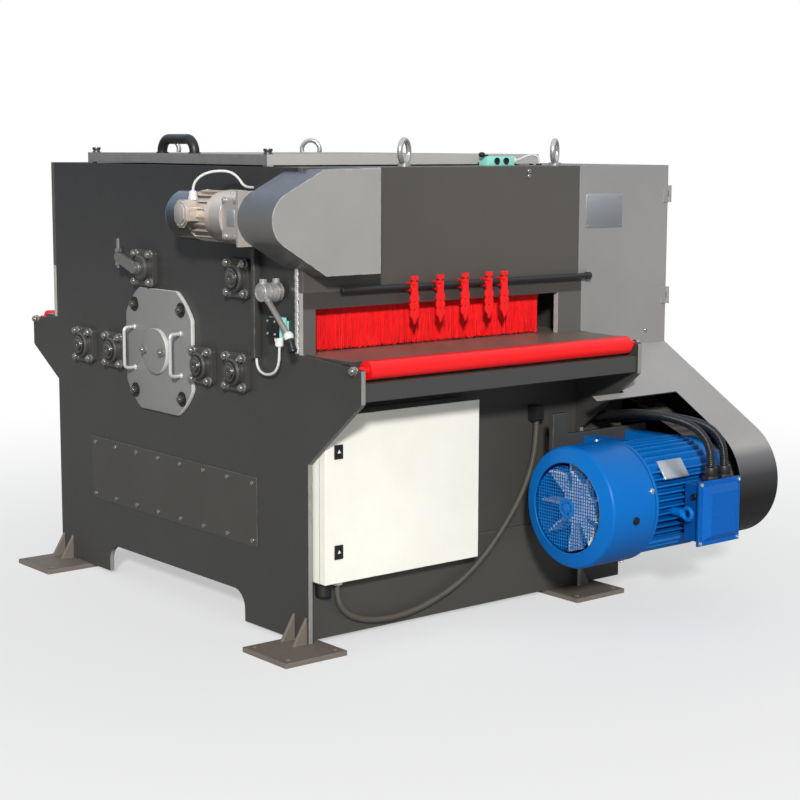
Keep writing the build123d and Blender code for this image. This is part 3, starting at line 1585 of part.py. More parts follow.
def ribbed_conduit(name, points, radius, steady):
    """A ribbed hose with its bore, plain for one diameter at each end."""
    path = route_path(name, points, radius)
    low = conduit_rib_share * radius
    plain = 2 * radius / path.length
    rib = (1 - 2 * plain) / conduit_ribs
    stations = [(0, low)]
    for number in range(conduit_ribs):
        start = plain + number * rib
        for share, size in ((0, low), (0.25, radius), (0.5, radius), (0.75, low)):
            stations.append((start + share * rib, size))
    stations.append((1, low))
    sections = []
    for share, size in stations:
        plane = Plane(origin=path @ share, x_dir=steady, z_dir=path % share)
        sections.append(plane * Circle(size))
    hose = loft(sections, ruled=True)
    mouth = Plane(origin=path @ 0, x_dir=steady, z_dir=path % 0)
    return hose - sweep(mouth * Circle(conduit_bore_share * radius), path=path)


# The nodes, each with its separate solids
def build_nodes():
    """Every named piece of the machine, in the layout frame."""
    nodes = {
        "left_side_plate": side_plate(0, cover_spigot_radius + spigot_gap, False),
        "right_side_plate": side_plate(right_plate_x, journal_radius + shaft_hole_gap, True),
        "throat_frames": throat_frames(),
        "base_panels": base_panels(),
        "cross_beams": cross_beams(),
        "foot_plates": foot_plates(),
        "feed_tables": feed_tables(),
        "hood_shell": hood_shell(),
        "pointer_rail": pointer_rail(),
        "infeed_brush": infeed_brush(),
        "drive_cover": drive_cover(),
        "fasteners": fasteners(),
        "bearing_housings": bearing_housings(),
        "arbor_cover": arbor_cover(),
        "belt_housing": belt_housing(),
        "belt_guard": belt_guard(),
        "belts_and_chains": belts_and_chains(),
        "motor_frame": motor_frame(),
        "motor_fan_cover": motor_fan_cover(),
        "motor_terminal_box": motor_terminal_box(),
        "feed_motor": feed_motor(),
        "gear_housings": gear_housings(),
        "eye_bolts": eye_bolts(),
        "safety_switches": safety_switches(),
        "cable_fittings": cable_fittings(),
        "cabinet_body": cabinet_body(),
        "top_lid": top_lid(),
        "lid_handle": lid_handle(),
        "belt_door": belt_door(),
        "cabinet_door": cabinet_door(),
        "door_lock_upper": door_lock(lock_z[0]),
        "door_lock_lower": door_lock(lock_z[1]),
        "arbor_shaft": arbor_shaft(),
        "saw_blades": saw_blades(),
        "motor_rotor": motor_rotor(),
        "infeed_idler_roller": idler_roller(idler_places()[0]),
        "outfeed_idler_roller": idler_roller(idler_places()[1]),
        "kickback_lever": kickback_lever(),
        "feed_input_sprocket": feed_input_sprocket(),
        "feed_driven_sprocket": feed_driven_sprocket(),
        "cross_shaft": cross_shaft(),
    }
    for index in range(len(lower_roller_y)):
        nodes[f"lower_feed_roller_{index + 1}"] = lower_feed_roller(index)
    for index, place in enumerate(("front", "rear")):
        nodes[f"upper_feed_roller_{place}"] = upper_feed_roller(index)
        nodes[f"swing_arm_{place}"] = swing_arm(index)
    for index, x in enumerate(blade_x):
        nodes[f"pointer_{index + 1}"] = pointer(x)
    return nodes


def build_cords():
    """The cables and conduits, which hang or lie outside the machine's own box."""
    return {
        "cabinet_conduit": ribbed_conduit(
            "cabinet_conduit", cabinet_route, cabinet_conduit_radius, (0, 1, 0)
        ),
        "motor_conduit_front": ribbed_conduit(
            "motor_conduit_front", motor_front_route, motor_conduit_radius, (1, 0, 0)
        ),
        "motor_conduit_rear": ribbed_conduit(
            "motor_conduit_rear", motor_rear_route, motor_conduit_radius, (1, 0, 0)
        ),
        "feed_motor_cable": plain_cord("feed_motor_cable", feed_cable_route, cable_radius),
        "lever_switch_cable": plain_cord("lever_switch_cable", lever_cable_route, cable_radius),
        "lid_switch_cable": plain_cord("lid_switch_cable", lid_cable_route, cable_radius),
    }


machine = {name: solids_of(shape) for name, shape in build_nodes().items()}
cords = {name: solids_of(shape) for name, shape in build_cords().items()}
box = Compound([solid for solids in machine.values() for solid in solids]).bounding_box()
origin = Pos(-(box.min.X + box.max.X) / 2, -(box.min.Y + box.max.Y) / 2, -box.min.Z)
print("origin shift", origin.position, "size", box.size)
os.makedirs("parts", exist_ok=True)
for name, solids in {**machine, **cords}.items():
    placed = [origin * solid for solid in solids]
    whole = placed[0] if len(placed) == 1 else Compound(children=placed)
    export_step(whole, f"parts/{name}.step")
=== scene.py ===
import bmesh
import bpy
import math
import random
from mathutils import Matrix, Vector


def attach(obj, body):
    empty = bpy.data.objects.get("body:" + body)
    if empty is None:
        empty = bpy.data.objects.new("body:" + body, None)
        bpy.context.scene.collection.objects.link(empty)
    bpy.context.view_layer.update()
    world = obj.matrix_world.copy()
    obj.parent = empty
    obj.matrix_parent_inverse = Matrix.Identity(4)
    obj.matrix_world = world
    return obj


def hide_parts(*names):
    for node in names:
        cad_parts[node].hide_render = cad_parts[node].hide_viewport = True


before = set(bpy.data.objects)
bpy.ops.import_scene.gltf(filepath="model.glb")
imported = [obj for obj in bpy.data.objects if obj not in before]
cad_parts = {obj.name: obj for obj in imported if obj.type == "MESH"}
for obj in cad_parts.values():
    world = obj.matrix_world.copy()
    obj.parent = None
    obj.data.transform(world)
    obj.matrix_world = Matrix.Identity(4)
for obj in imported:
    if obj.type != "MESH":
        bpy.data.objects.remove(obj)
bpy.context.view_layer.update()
scene = bpy.context.scene
bpy.ops.object.select_all(action="DESELECT")


# Camera: it stands before the infeed side, to the left and a little above the hood.
# Its place, turn and lens were found from the machine's own corners.
camera_place = (-3.6815, -4.6425, 1.4895)
camera_yaw = math.radians(39.30)
camera_pitch = math.radians(8.07)
camera_roll = math.radians(0.21)
camera_data = bpy.data.cameras.new("camera")
camera_data.sensor_width = 36
camera_data.lens = 79.1
camera_data.shift_x = -0.0044
camera_data.shift_y = -0.0091
camera = bpy.data.objects.new("camera", camera_data)
scene.collection.objects.link(camera)
camera.matrix_world = (
    Matrix.Translation(camera_place) @ Matrix.Rotation(-camera_yaw, 4, "Z")
    @ Matrix.Rotation(math.pi / 2 - camera_pitch, 4, "X") @ Matrix.Rotation(camera_roll, 4, "Z")
)
scene.camera = camera
scene.view_settings.view_transform = "Standard"


# Floor and light: a pale studio floor that fades into white, a low sun from the front left, and an even
# sky. The sky shows white to the eye. Gloss mirrors a blue sky overhead, a grey skyline and a dull ground.
white = (1, 1, 1, 1)
floor_size = 60
floor_colour = (0.86, 0.86, 0.86, 1)
floor_mirrored = (0.26, 0.26, 0.26, 1)
floor_rough = 0.9
fade_reach = (0.8, 4.5)
fade_share = (0.5, 1)
sun_strength = 3.2
sun_spread = math.radians(5)
sun_towards = (0.56, 0.70, -0.37)
sky_colour = (0.93, 0.96, 1.0, 1)
sky_strength = 0.30
skyline_heights = (0.02, 0.55)
skyline_mirrored = (0.28, 0.29, 0.31, 1)
overhead_mirrored = (0.80, 0.88, 1.0, 1)


def wire(node, inputs):
    """Sets a shader node's inputs, or links them where the value is a socket."""
    for key, value in inputs.items():
        if isinstance(value, bpy.types.NodeSocket):
            node.id_data.links.new(value, node.inputs[key])
        else:
            node.inputs[key].default_value = value


def add_node(tree, kind, inputs=None, out=0, **settings):
    """A new shader node with its settings and inputs. One of its outputs is handed on."""
    node = tree.nodes.new(kind)
    for key, value in settings.items():
        setattr(node, key, value)
    wire(node, inputs or {})
    return node.outputs[out]


def reckon(tree, operation, *values):
    """What a sum makes of some values."""
    return add_node(tree, "ShaderNodeMath", dict(enumerate(values)), operation=operation)


def stretch(tree, value, low, high, to_low=0, to_high=1, way="LINEAR"):
    """A value carried from one range to another."""
    ends = {"From Min": low, "From Max": high, "To Min": to_low, "To Max": to_high}
    return add_node(tree, "ShaderNodeMapRange", {"Value": value, **ends}, interpolation_type=way)


def mixed(tree, share, first, second, way="MIX"):
    """One colour going over into another."""
    colours = {0: share, 6: first, 7: second}
    return add_node(tree, "ShaderNodeMix", colours, 2, data_type="RGBA", blend_type=way)


def blended(tree, share, first, second):
    """One shader going over into another."""
    return add_node(tree, "ShaderNodeMixShader", {0: share, 1: first, 2: second})


def own(tree, what="Object"):
    """The piece's own coordinates, or how its surface lies in them."""
    return add_node(tree, "ShaderNodeTexCoord", out=what)


def part_of(tree, vector, axis):
    """How far a place or a direction goes along an axis."""
    return add_node(tree, "ShaderNodeSeparateXYZ", {0: vector}, axis)


def ray(tree, kind):
    """1 for light that comes by one kind of path, and 0 for all other."""
    return add_node(tree, "ShaderNodeLightPath", out=kind)


def seen_directly(tree):
    """1 where the eye meets the surface, also through a clear piece, and 0 where it lights or is mirrored."""
    return reckon(tree, "MAXIMUM", ray(tree, "Is Camera Ray"), ray(tree, "Is Transmission Ray"))


def new_finish(name):
    """A material with its node tree and its main shader."""
    material = bpy.data.materials.new(name)
    material.use_nodes = True
    return material, material.node_tree, material.node_tree.nodes["Principled BSDF"]


bpy.ops.mesh.primitive_plane_add(size=floor_size, location=(0, 0, 0))
floor = bpy.context.active_object
floor.name = "floor"
floor_finish, floor_tree, floor_shader = new_finish("floor_finish")
wire(floor_shader, {
    "Base Color": mixed(floor_tree, ray(floor_tree, "Is Glossy Ray"), floor_colour, floor_mirrored),
    "Roughness": floor_rough,
})
floor_reach = add_node(floor_tree, "ShaderNodeVectorMath", {0: own(floor_tree)}, "Value", operation="LENGTH")
floor_fade = stretch(floor_tree, floor_reach, *fade_reach, *fade_share, "SMOOTHSTEP")
floor_share = reckon(floor_tree, "MULTIPLY", floor_fade, seen_directly(floor_tree))
floor_white = add_node(floor_tree, "ShaderNodeEmission", {"Color": white, "Strength": 1})
floor_look = blended(floor_tree, floor_share, floor_shader.outputs[0], floor_white)
wire(floor_tree.nodes["Material Output"], {"Surface": floor_look})
floor.data.materials.append(floor_finish)

sun_data = bpy.data.lights.new("sun", "SUN")
sun_data.energy = sun_strength
sun_data.angle = sun_spread
sun = bpy.data.objects.new("sun", sun_data)
sun.rotation_euler = Vector(sun_towards).to_track_quat("-Z", "Y").to_euler()
scene.collection.objects.link(sun)

world = bpy.data.worlds.new("sky")
scene.world = world
world.use_nodes = True
sky_tree = world.node_tree
sky_light = sky_tree.nodes["Background"]
wire(sky_light, {"Color": sky_colour, "Strength": sky_strength})
sky_height = part_of(sky_tree, own(sky_tree, "Generated"), "Z")
sky_rise = stretch(sky_tree, sky_height, *skyline_heights, way="SMOOTHSTEP")
sky_tone = mixed(sky_tree, sky_rise, skyline_mirrored, overhead_mirrored)
sky_gloss = add_node(sky_tree, "ShaderNodeBackground", {"Color": sky_tone, "Strength": 1})
sky_white = add_node(sky_tree, "ShaderNodeBackground", {"Color": white, "Strength": 1})
sky_unseen = blended(sky_tree, ray(sky_tree, "Is Glossy Ray"), sky_light.outputs[0], sky_gloss)
sky_look = blended(sky_tree, seen_directly(sky_tree), sky_unseen, sky_white)
wire(sky_tree.nodes["World Output"], {"Surface": sky_look})


# Side plates, feet and cross beams: 15 mm steel plate, cut, welded and painted charcoal.
# The paint is a thin satin coat, pale along the cut edges: partly wear and partly a painted highlight where
# light catches them.
layout_origin = Vector((690.15, 548, 0))
charcoal = (64, 63, 60)
charcoal_wear_and_glint = (128, 126, 122)
charcoal_painted_shade_high_up = (46, 46, 46)
plate_front_edge_painted_light = (138, 136, 131)
foot_brown = (116, 106, 97)
foot_wear_and_glint = (152, 140, 128)


def tone(colour, share=1):
    """A colour as a screen shows it, in 255ths, as the shader wants it, made darker or paler by a share."""
    parts = [part / 255 for part in colour]
    linear = [part / 12.92 if part <= 0.04045 else ((part + 0.055) / 1.055) ** 2.4 for part in parts]
    return (*(min(1, part * share) for part in linear), 1)


def noise(tree, spot, scale, detail=4, rough=0.6):
    """Clouds of a size on the piece's own coordinates."""
    inputs = {"Vector": spot, "Scale": scale, "Detail": detail, "Roughness": rough}
    return add_node(tree, "ShaderNodeTexNoise", inputs, "Fac")


def clouded(tree, share, colour, low, high):
    """A colour that goes from a darker to a paler tone."""
    return mixed(tree, share, tone(colour, low), tone(colour, high))


def soft_edges(tree, radius):
    """The way the surface looks when its edges are rounded."""
    return add_node(tree, "ShaderNodeBevel", {"Radius": radius}, "Normal", samples=4)


def relief(tree, height, strength, distance, **base):
    """A fine relief in the surface."""
    inputs = {"Height": height, "Strength": strength, "Distance": distance, **base}
    return add_node(tree, "ShaderNodeBump", inputs)


def paint(name, colour, wear_and_painted_light, rough=0.42, peel=0.10, wear=1.0, edge=0.0035):
    """Sprayed or powder-coated steel: a little orange peel, soft edges, cloudy tone, and edges in another
    tone that are partly wear and partly a painted highlight.
    """
    material, tree, shader = new_finish(name)
    spot, softened = own(tree), soft_edges(tree, edge)
    body = clouded(tree, noise(tree, spot, 2.6, 5, 0.62), colour, 0.84, 1.14)
    sides = {0: softened, 1: add_node(tree, "ShaderNodeNewGeometry", out="Normal")}
    flatness = add_node(tree, "ShaderNodeVectorMath", sides, "Value", operation="DOT_PRODUCT")
    scuff_and_glint_noise = noise(tree, spot, 48, 6, 0.7)
    wear_and_glint_patches = stretch(tree, scuff_and_glint_noise, 0.40, 0.62, 0, wear)
    # Share of edge tone: partly wear, partly a painted highlight along the edges.
    bare_and_painted_light = reckon(tree, "MULTIPLY", stretch(tree, flatness, 0.99, 0.86), wear_and_glint_patches)
    wire(shader, {
        "Base Color": mixed(tree, bare_and_painted_light, body, tone(wear_and_painted_light)),
        "Roughness": stretch(tree, scuff_and_glint_noise, 0.3, 0.7, rough - 0.07, rough + 0.09),
        "Normal": relief(tree, noise(tree, spot, 850, 2, 0.5), peel, 0.0004, Normal=softened),
    })
    return material


def opened(material):
    """A finish's node tree, its main shader and what now gives its colour."""
    shader = material.node_tree.nodes["Principled BSDF"]
    return material.node_tree, shader, shader.inputs["Base Color"].links[0].from_socket


def facing(tree, axis):
    """How far the surface looks along an axis of the part: 1 with it, 0 across it, -1 against it."""
    return part_of(tree, own(tree, "Normal"), axis)


def tone_where(material, share, colour, spread):
    """Mixes a finish towards another tone, a little streaked, by a share."""
    tree, shader, plain = opened(material)
    streaked = clouded(tree, noise(tree, own(tree), 30, 5, 0.7), colour, 1 - spread, 1 + spread)
    wire(shader, {"Base Color": mixed(tree, share, plain, streaked)})


def paint_light_by_facing(material, axis, start, full, colour, spread=0.3):
    """Paints light and shade into faces, a tone by how far they look along an axis: none at start, all at
    full.
    """
    tree = material.node_tree
    tone_where(material, stretch(tree, facing(tree, axis), start, full), colour, spread)


def tone_along(material, axis, start, full, colour, spread=0.15):
    """Gives a finish another tone along the machine: none up to one place of the layout, all past another."""
    tree = material.node_tree
    origin = layout_origin["XYZ".index(axis)]
    ends = ((start - origin) / 1000, (full - origin) / 1000)
    tone_where(material, stretch(tree, part_of(tree, own(tree), axis), *ends), colour, spread)


def dress(material, *nodes):
    """Gives CAD nodes their finish."""
    for name in nodes:
        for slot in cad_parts[name].material_slots:
            slot.material = material


frame_paint = paint("frame_paint", charcoal, charcoal_wear_and_glint, 0.40)
dress(frame_paint, "cross_beams")
plate_paint = paint("plate_paint", charcoal, charcoal_wear_and_glint, 0.40)
# Higher up the plates are painted darker, a painted shade, and faces that look forward paler, a painted
# highlight.
tone_along(plate_paint, "Z", 700, 1400, charcoal_painted_shade_high_up)
paint_light_by_facing(plate_paint, "Y", -0.6, -0.9, plate_front_edge_painted_light)
dress(plate_paint, "left_side_plate", "right_side_plate")
dress(paint("foot_paint", foot_brown, foot_wear_and_glint, 0.55, 0.16), "foot_plates")


# Base panels: 4 mm sheet let in between the plates, with the cover riveted over the left plate's window.
# They carry the same paint, a little greyer where the sheet lies open to the light.
dress(paint("panel_paint", (70, 68, 64), (132, 130, 125), 0.44), "base_panels")


# Feed tables: steel plates that the boards have rubbed to a shine, with scratches the way the boards go.
# Their brownish tone is in part a painted reflection of the red brush. The aprons and undersides keep their
# charcoal paint.
table_tone_with_painted_reflection = (142, 127, 114)
apron_charcoal = (66, 66, 64)
along_the_feed = (40, 1.5, 40)


def metal(
    name, colour, rough, scale=140, spread=0.16, bump=0.05, edge=0.0015, metallic=1.0, grain=(1, 1, 1)
):
    """Bare metal: tone and gloss follow its grain, which may be drawn out along one direction."""
    material, tree, shader = new_finish(name)
    spot = own(tree)
    drawn = add_node(tree, "ShaderNodeMapping", {"Vector": spot, "Scale": grain})
    lines = noise(tree, drawn, scale, 6, 0.65)
    cloud = stretch(tree, noise(tree, spot, 7), 0.25, 0.75, 0.55, 1.35)
    wire(shader, {
        "Base Color": clouded(tree, reckon(tree, "MULTIPLY", lines, cloud), colour, 1 - spread, 1 + spread),
        "Roughness": stretch(tree, lines, 0.25, 0.75, max(0.03, rough - 0.08), rough + 0.10),
        "Normal": relief(tree, lines, bump, 0.0003, Normal=soft_edges(tree, edge)),
        "Metallic": metallic,
    })
    return material


def keep_paint(material, colour):
    """Leaves the metal unpainted only on the faces that look up, and paint on all others."""
    tree, shader, wear_and_painted_light = opened(material)
    bare_and_painted_light = stretch(tree, facing(tree, "Z"), 0.7, 0.9)
    wire(shader, {
        "Base Color": mixed(tree, bare_and_painted_light, tone(colour), wear_and_painted_light),
        "Metallic": reckon(tree, "MULTIPLY", bare_and_painted_light, shader.inputs["Metallic"].default_value),
    })


table_metal = metal("table_metal", table_tone_with_painted_reflection, 0.46, 12, 0.30, 0.10, 0.002, 0.6, along_the_feed)
keep_paint(table_metal, apron_charcoal)
dress(table_metal, "feed_tables")


# Throat frames and hood: thick flats round the opening and folded sheet above it, bolted to the plates.
# The hood's front is the lightest of the charcoal panels, the throat frame a shade paler still.
throat_paint = paint("throat_paint", (92, 90, 86), (150, 148, 143), 0.40)
# The lintel above the jambs is painted darker, a painted shadow of the hood and drive cover, and faces that
# look left paler, a painted highlight.
tone_along(throat_paint, "Z", 1006, 1014, (66, 62, 58))
paint_light_by_facing(throat_paint, "X", -0.6, -0.9, (172, 169, 162))
dress(throat_paint, "throat_frames")
dress(paint("hood_paint", (82, 79, 74), (140, 138, 132)), "hood_shell")


# Lid: a shallow folded tray on two hinges over the hood's opening, painted grey.
# A black bow handle is screwed to its free side and two dark steel knobs hold it shut.
lid_paint = paint("lid_paint", (182, 179, 174), (206, 203, 198), 0.44)
# The lid's faces that look left are painted darker, a painted shade.
paint_light_by_facing(lid_paint, "X", -0.6, -0.9, (114, 113, 112))
dress(lid_paint, "top_lid")
knob_steel = metal("knob_steel", (112, 110, 106), 0.36, 200, 0.16, 0.06)
knob_place = (30, 236)
knob_spread = 1019
lid_top = 1456.2


def plastic(name, colour, rough, grain=1400, bump=0.06, spread=0.10):
    """Moulded plastic or rubber: a fine even grain, with slight clouds in its tone and gloss."""
    material, tree, shader = new_finish(name)
    spot = own(tree)
    cloud = noise(tree, spot, 22, 5)
    fine = noise(tree, spot, grain, 2, 0.5)
    wire(shader, {
        "Base Color": clouded(tree, cloud, colour, 1 - spread, 1 + spread),
        "Roughness": stretch(tree, cloud, 0.3, 0.7, rough - 0.06, rough + 0.08),
        "Normal": relief(tree, fine, bump, 0.0003, Normal=soft_edges(tree, 0.0012)),
    })
    return material


def at(x, y, z):
    """A place of the machine's layout, in millimetres, in the part's own frame."""
    return (Vector((x, y, z)) - layout_origin) / 1000


def as_stock():
    """The primitive that was just added, with its place and size in its mesh."""
    bpy.ops.object.transform_apply(location=True, rotation=True, scale=True)
    return bpy.context.active_object


def bar(start, end, radius, sides):
    """A turned bar between two places, or a hexagon with six sides."""
    bpy.ops.object.select_all(action="DESELECT")
    first, last = at(*start), at(*end)
    run = last - first
    bpy.ops.mesh.primitive_cylinder_add(
        vertices=sides, radius=radius / 1000, depth=run.length, location=(first + last) / 2,
        rotation=run.to_track_quat("Z", "Y").to_euler(),
    )
    return as_stock()


def stud(place, axis, length, radius, sides):
    """A turned bar that stands on a place along an axis."""
    end = list(place)
    end["XYZ".index(axis)] += length
    return bar(place, end, radius, sides)


def pick(piece, kind, chosen):
    """Opens a piece in edit mode with the faces or edges selected that a test chooses."""
    bpy.context.view_layer.objects.active = piece
    bpy.ops.object.mode_set(mode="EDIT")
    bpy.ops.mesh.select_mode(type=kind)
    bpy.ops.mesh.select_all(action="DESELECT")
    cage = bmesh.from_edit_mesh(piece.data)
    for element in cage.faces if kind == "FACE" else cage.edges:
        element.select_set(chosen(element))
    bmesh.update_edit_mesh(piece.data)


def looks(direction):
    """A test for the faces that look in a direction."""
    return lambda face: face.normal.dot(Vector(direction)) > 0.95


def step_faces(piece, direction, *steps):
    """Takes in the faces that look in a direction by a rim, then raises or sinks them, for each step."""
    pick(piece, "FACE", looks(direction))
    for rim, height in steps:
        if rim:
            bpy.ops.mesh.inset(thickness=rim / 1000, depth=0)
        if height:
            move = Vector(direction) * (height / 1000)
            bpy.ops.mesh.extrude_region_move(TRANSFORM_OT_translate={"value": move})
    bpy.ops.object.mode_set(mode="OBJECT")
    return piece


def worked(piece, kind, **settings):
    """A piece after one modifier."""
    step = piece.modifiers.new("step", kind)
    for key, value in settings.items():
        setattr(step, key, value)
    bpy.context.view_layer.objects.active = piece
    bpy.ops.object.modifier_apply(modifier="step")
    return piece


def soften(piece, width, rounds=2):
    """Rounds a piece's sharp edges."""
    sharp = math.radians(35)
    return worked(
        piece, "BEVEL", width=width / 1000, segments=rounds, limit_method="ANGLE", angle_limit=sharp
    )


def dished(place, axis, length, radius, sides, rim, rise, edge):
    """A round head that stands on a place, its end sunk or raised inside a rim and its edges rounded."""
    out = [math.copysign(1, length) if name == axis else 0 for name in "XYZ"]
    head = stud(place, axis, length, radius, sides)
    return soften(step_faces(head, out, (rim, 0), (0, rise)), edge)


def only(piece):
    """Makes a piece the active one, with nothing else selected."""
    bpy.ops.object.select_all(action="DESELECT")
    piece.select_set(True)
    bpy.context.view_layer.objects.active = piece


def unite(first, *others):
    """Several shapes made one piece."""
    only(first)
    for piece in others:
        piece.select_set(True)
    bpy.ops.object.join()
    return bpy.context.active_object


def another(piece, x=0, y=0, z=0):
    """A copy of a piece with its own mesh, moved by some millimetres."""
    twin = piece.copy()
    twin.data = piece.data.copy()
    twin.data.transform(Matrix.Translation(Vector((x, y, z)) / 1000))
    scene.collection.objects.link(twin)
    return twin


def fit(piece, name, material, body="frame"):
    """Names a piece, gives it its finish and lets it ride on its body."""
    piece.name = name
    piece.data.name = name
    piece.data.materials.clear()
    piece.data.materials.append(material)
    only(piece)
    bpy.ops.object.shade_smooth_by_angle(angle=math.radians(35))
    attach(piece, body)


black_plastic = plastic("black_plastic", (24, 24, 25), 0.38)
dress(black_plastic, "lid_handle")
knob_foot = soften(stud((*knob_place, lid_top), "Z", 3, 14.2, 36), 0.8)
knob_neck = stud((*knob_place, lid_top + 2), "Z", 8, 11.4, 36)
knob_head = dished((*knob_place, lid_top + 8.5), "Z", 8.5, 14.0, 18, 3, -1.2, 0.9)
front_knob = unite(knob_foot, knob_neck, knob_head)
rear_knob = another(front_knob, y=knob_spread)
fit(front_knob, "lid_knob_front", knob_steel, "lid")
fit(rear_knob, "lid_knob_rear", knob_steel, "lid")


# Red parts: idler rollers and pointers, all dipped or sprayed in the same bright red enamel.
# Steel shows through where boards and hands rub the edges.
red_enamel = paint("red_enamel", (252, 22, 24), (170, 60, 52), 0.34, 0.08, 0.4, 0.002)
dress(red_enamel, "infeed_idler_roller", "outfeed_idler_roller")
dress(red_enamel, *("pointer_%d" % number for number in range(1, 6)))


# Pointer rail: a round steel bar across the lintel, painted dark, that the pointers slide on.
# It is clamped in a post at each end.
rail_paint = paint("rail_paint", (38, 38, 38), (120, 118, 114), 0.44, 0.06, 0.8, 0.002)
dress(rail_paint, "pointer_rail")
rail_line = (5, 1061)
rail_left = 130
rail_right = 1155


# Drive cover: a box of rolled and welded sheet over the feed chain, painted light grey.
# Its rounded band carries a painted reflection, bluish where it looks up and dark where it looks down,
# and its edges a wide pale line that is mostly a painted highlight.
cover_paint = paint("cover_paint", (155, 153, 149), (216, 214, 210), 0.34, 0.10, 2.0, 0.006)


def paint_light_by_lean(material, spared, *stops):
    """Multiplies a paint's tone by how its faces lean, from down at 0 to up at 1, as painted shade and
    reflection. The front may be spared.
    """
    tree, shader, plain = opened(material)
    ramp = add_node(tree, "ShaderNodeValToRGB", {0: stretch(tree, facing(tree, "Z"), -1, 1)})
    places = ramp.node.color_ramp.elements
    while len(places) < len(stops):
        places.new(0.5)
    for place, (lean, colour) in zip(places, stops):
        place.position = lean
        place.color = (*colour, 1)
    share = stretch(tree, facing(tree, "Y"), -0.95, -0.75) if spared else 1.0
    wire(shader, {"Base Color": mixed(tree, share, plain, ramp, "MULTIPLY")})


paint_light_by_lean(
    cover_paint, True, (0.0, (0.24, 0.24, 0.24)), (0.25, (0.38, 0.38, 0.37)), (0.5, (0.42, 0.42, 0.42)),
    (0.72, (0.30, 0.33, 0.40)), (1.0, (0.30, 0.36, 0.50)),
)
dress(cover_paint, "drive_cover")


# Belt housing, its door and the guard: welded sheet on the right plate, in two lighter greys.
# The guard is bent over the belts; painted shade and reflection make it near black where it looks down or
# sideways, and full only where its slope looks up.
housing_paint = paint("housing_paint", (141, 139, 137), (176, 174, 171), 0.44)
dress(housing_paint, "belt_housing", "belt_door")
guard_paint = paint("guard_paint", (158, 154, 150), (188, 187, 184), 0.34)
paint_light_by_lean(
    guard_paint, False, (0.0, (0.02, 0.02, 0.02)), (0.4, (0.03, 0.03, 0.03)), (0.58, (0.10, 0.11, 0.12)),
    (0.74, (0.40, 0.40, 0.43)), (0.82, (1.0, 1.0, 1.0)),
)
dress(guard_paint, "belt_guard")


# Blank plate: a sheet of bare brushed aluminium with nothing on it.
# Four drive rivets hold it on the housing's front.
plate_low = (1151, 20.4, 1215)
plate_high = (1320, 22, 1328)
rivet_inset = 8
rivet_seat = plate_low[1] + 0.2
plate_metal = metal("plate_metal", (196, 198, 200), 0.34, 30, 0.08, 0.03, 0.001, 0.85, (1, 1, 40))


def slab(low, high):
    """A flat piece or a block between two corners."""
    bpy.ops.object.select_all(action="DESELECT")
    first, last = at(*low), at(*high)
    bpy.ops.mesh.primitive_cube_add(size=1, location=(first + last) / 2)
    bpy.context.active_object.scale = last - first
    return as_stock()


def repeated(piece, first, *others):
    """A piece that stands at a first place with copies of it at others, made one."""
    return unite(piece, *(another(piece, *(Vector(place) - Vector(first))) for place in others))


fit(soften(slab(plate_low, plate_high), 0.5), "blank_plate", plate_metal)
rivet_places = [
    (x, rivet_seat, z)
    for x in (plate_low[0] + rivet_inset, plate_high[0] - rivet_inset)
    for z in (plate_low[2] + rivet_inset, plate_high[2] - rivet_inset)
]
rivet = soften(stud(rivet_places[0], "Y", -1.8, 3.4, 20), 1.2, 3)
fit(repeated(rivet, *rivet_places), "blank_plate_rivets", plate_metal)


# Belt door latch: a black plastic grip with a dished end, moulded in one piece.
# It is pushed over the latch spindle near the door's rear edge.
latch_place = (1549.4, 955, 1121)
latch_grip = dished(latch_place, "X", 16.8, 14.2, 20, 4, -1.5, 1.2)
fit(latch_grip, "belt_door_latch", black_plastic, "belt_door")


# Bolts, rivets, screws and eye bolts: zinc-plated steel.
# The four bolts of the arbor cover and their wide washers are blackened.
arbor_line = (802, 820)
bolt_grey = (182, 179, 172)
zinc = metal("zinc", (204, 202, 197), 0.26, 260, 0.12, 0.04, 0.001, 0.75)
dress(zinc, "eye_bolts")
bolt_zinc = metal("bolt_zinc", bolt_grey, 0.28, 260, 0.14, 0.04, 0.001, 0.85)


def blacken_round(material, black, middle, near, far, depth):
    """Blackens four squares about a middle, seen along the shafts, fully behind a depth on the bolts."""
    tree, shader, plain = opened(material)
    ends = {0: own(tree), 1: at(0, *middle)}
    away = add_node(tree, "ShaderNodeVectorMath", ends, operation="SUBTRACT")
    squares = []
    for axis in ("Y", "Z"):
        reach = reckon(tree, "ABSOLUTE", part_of(tree, away, axis))
        squares.append(reckon(tree, "COMPARE", reach, (near + far) / 2000, (far - near) / 2000))
    under = reckon(tree, "GREATER_THAN", part_of(tree, away, "X"), depth / 1000)
    full = stretch(tree, under, 0, 1, 0.55, 1)
    dark = reckon(tree, "MULTIPLY", reckon(tree, "MULTIPLY", *squares), full)
    wire(shader, {"Base Color": mixed(tree, dark, plain, black)})


blacken_round(bolt_zinc, tone(bolt_grey, 0.16), arbor_line, 110, 176, -18.5)
dress(bolt_zinc, "fasteners")


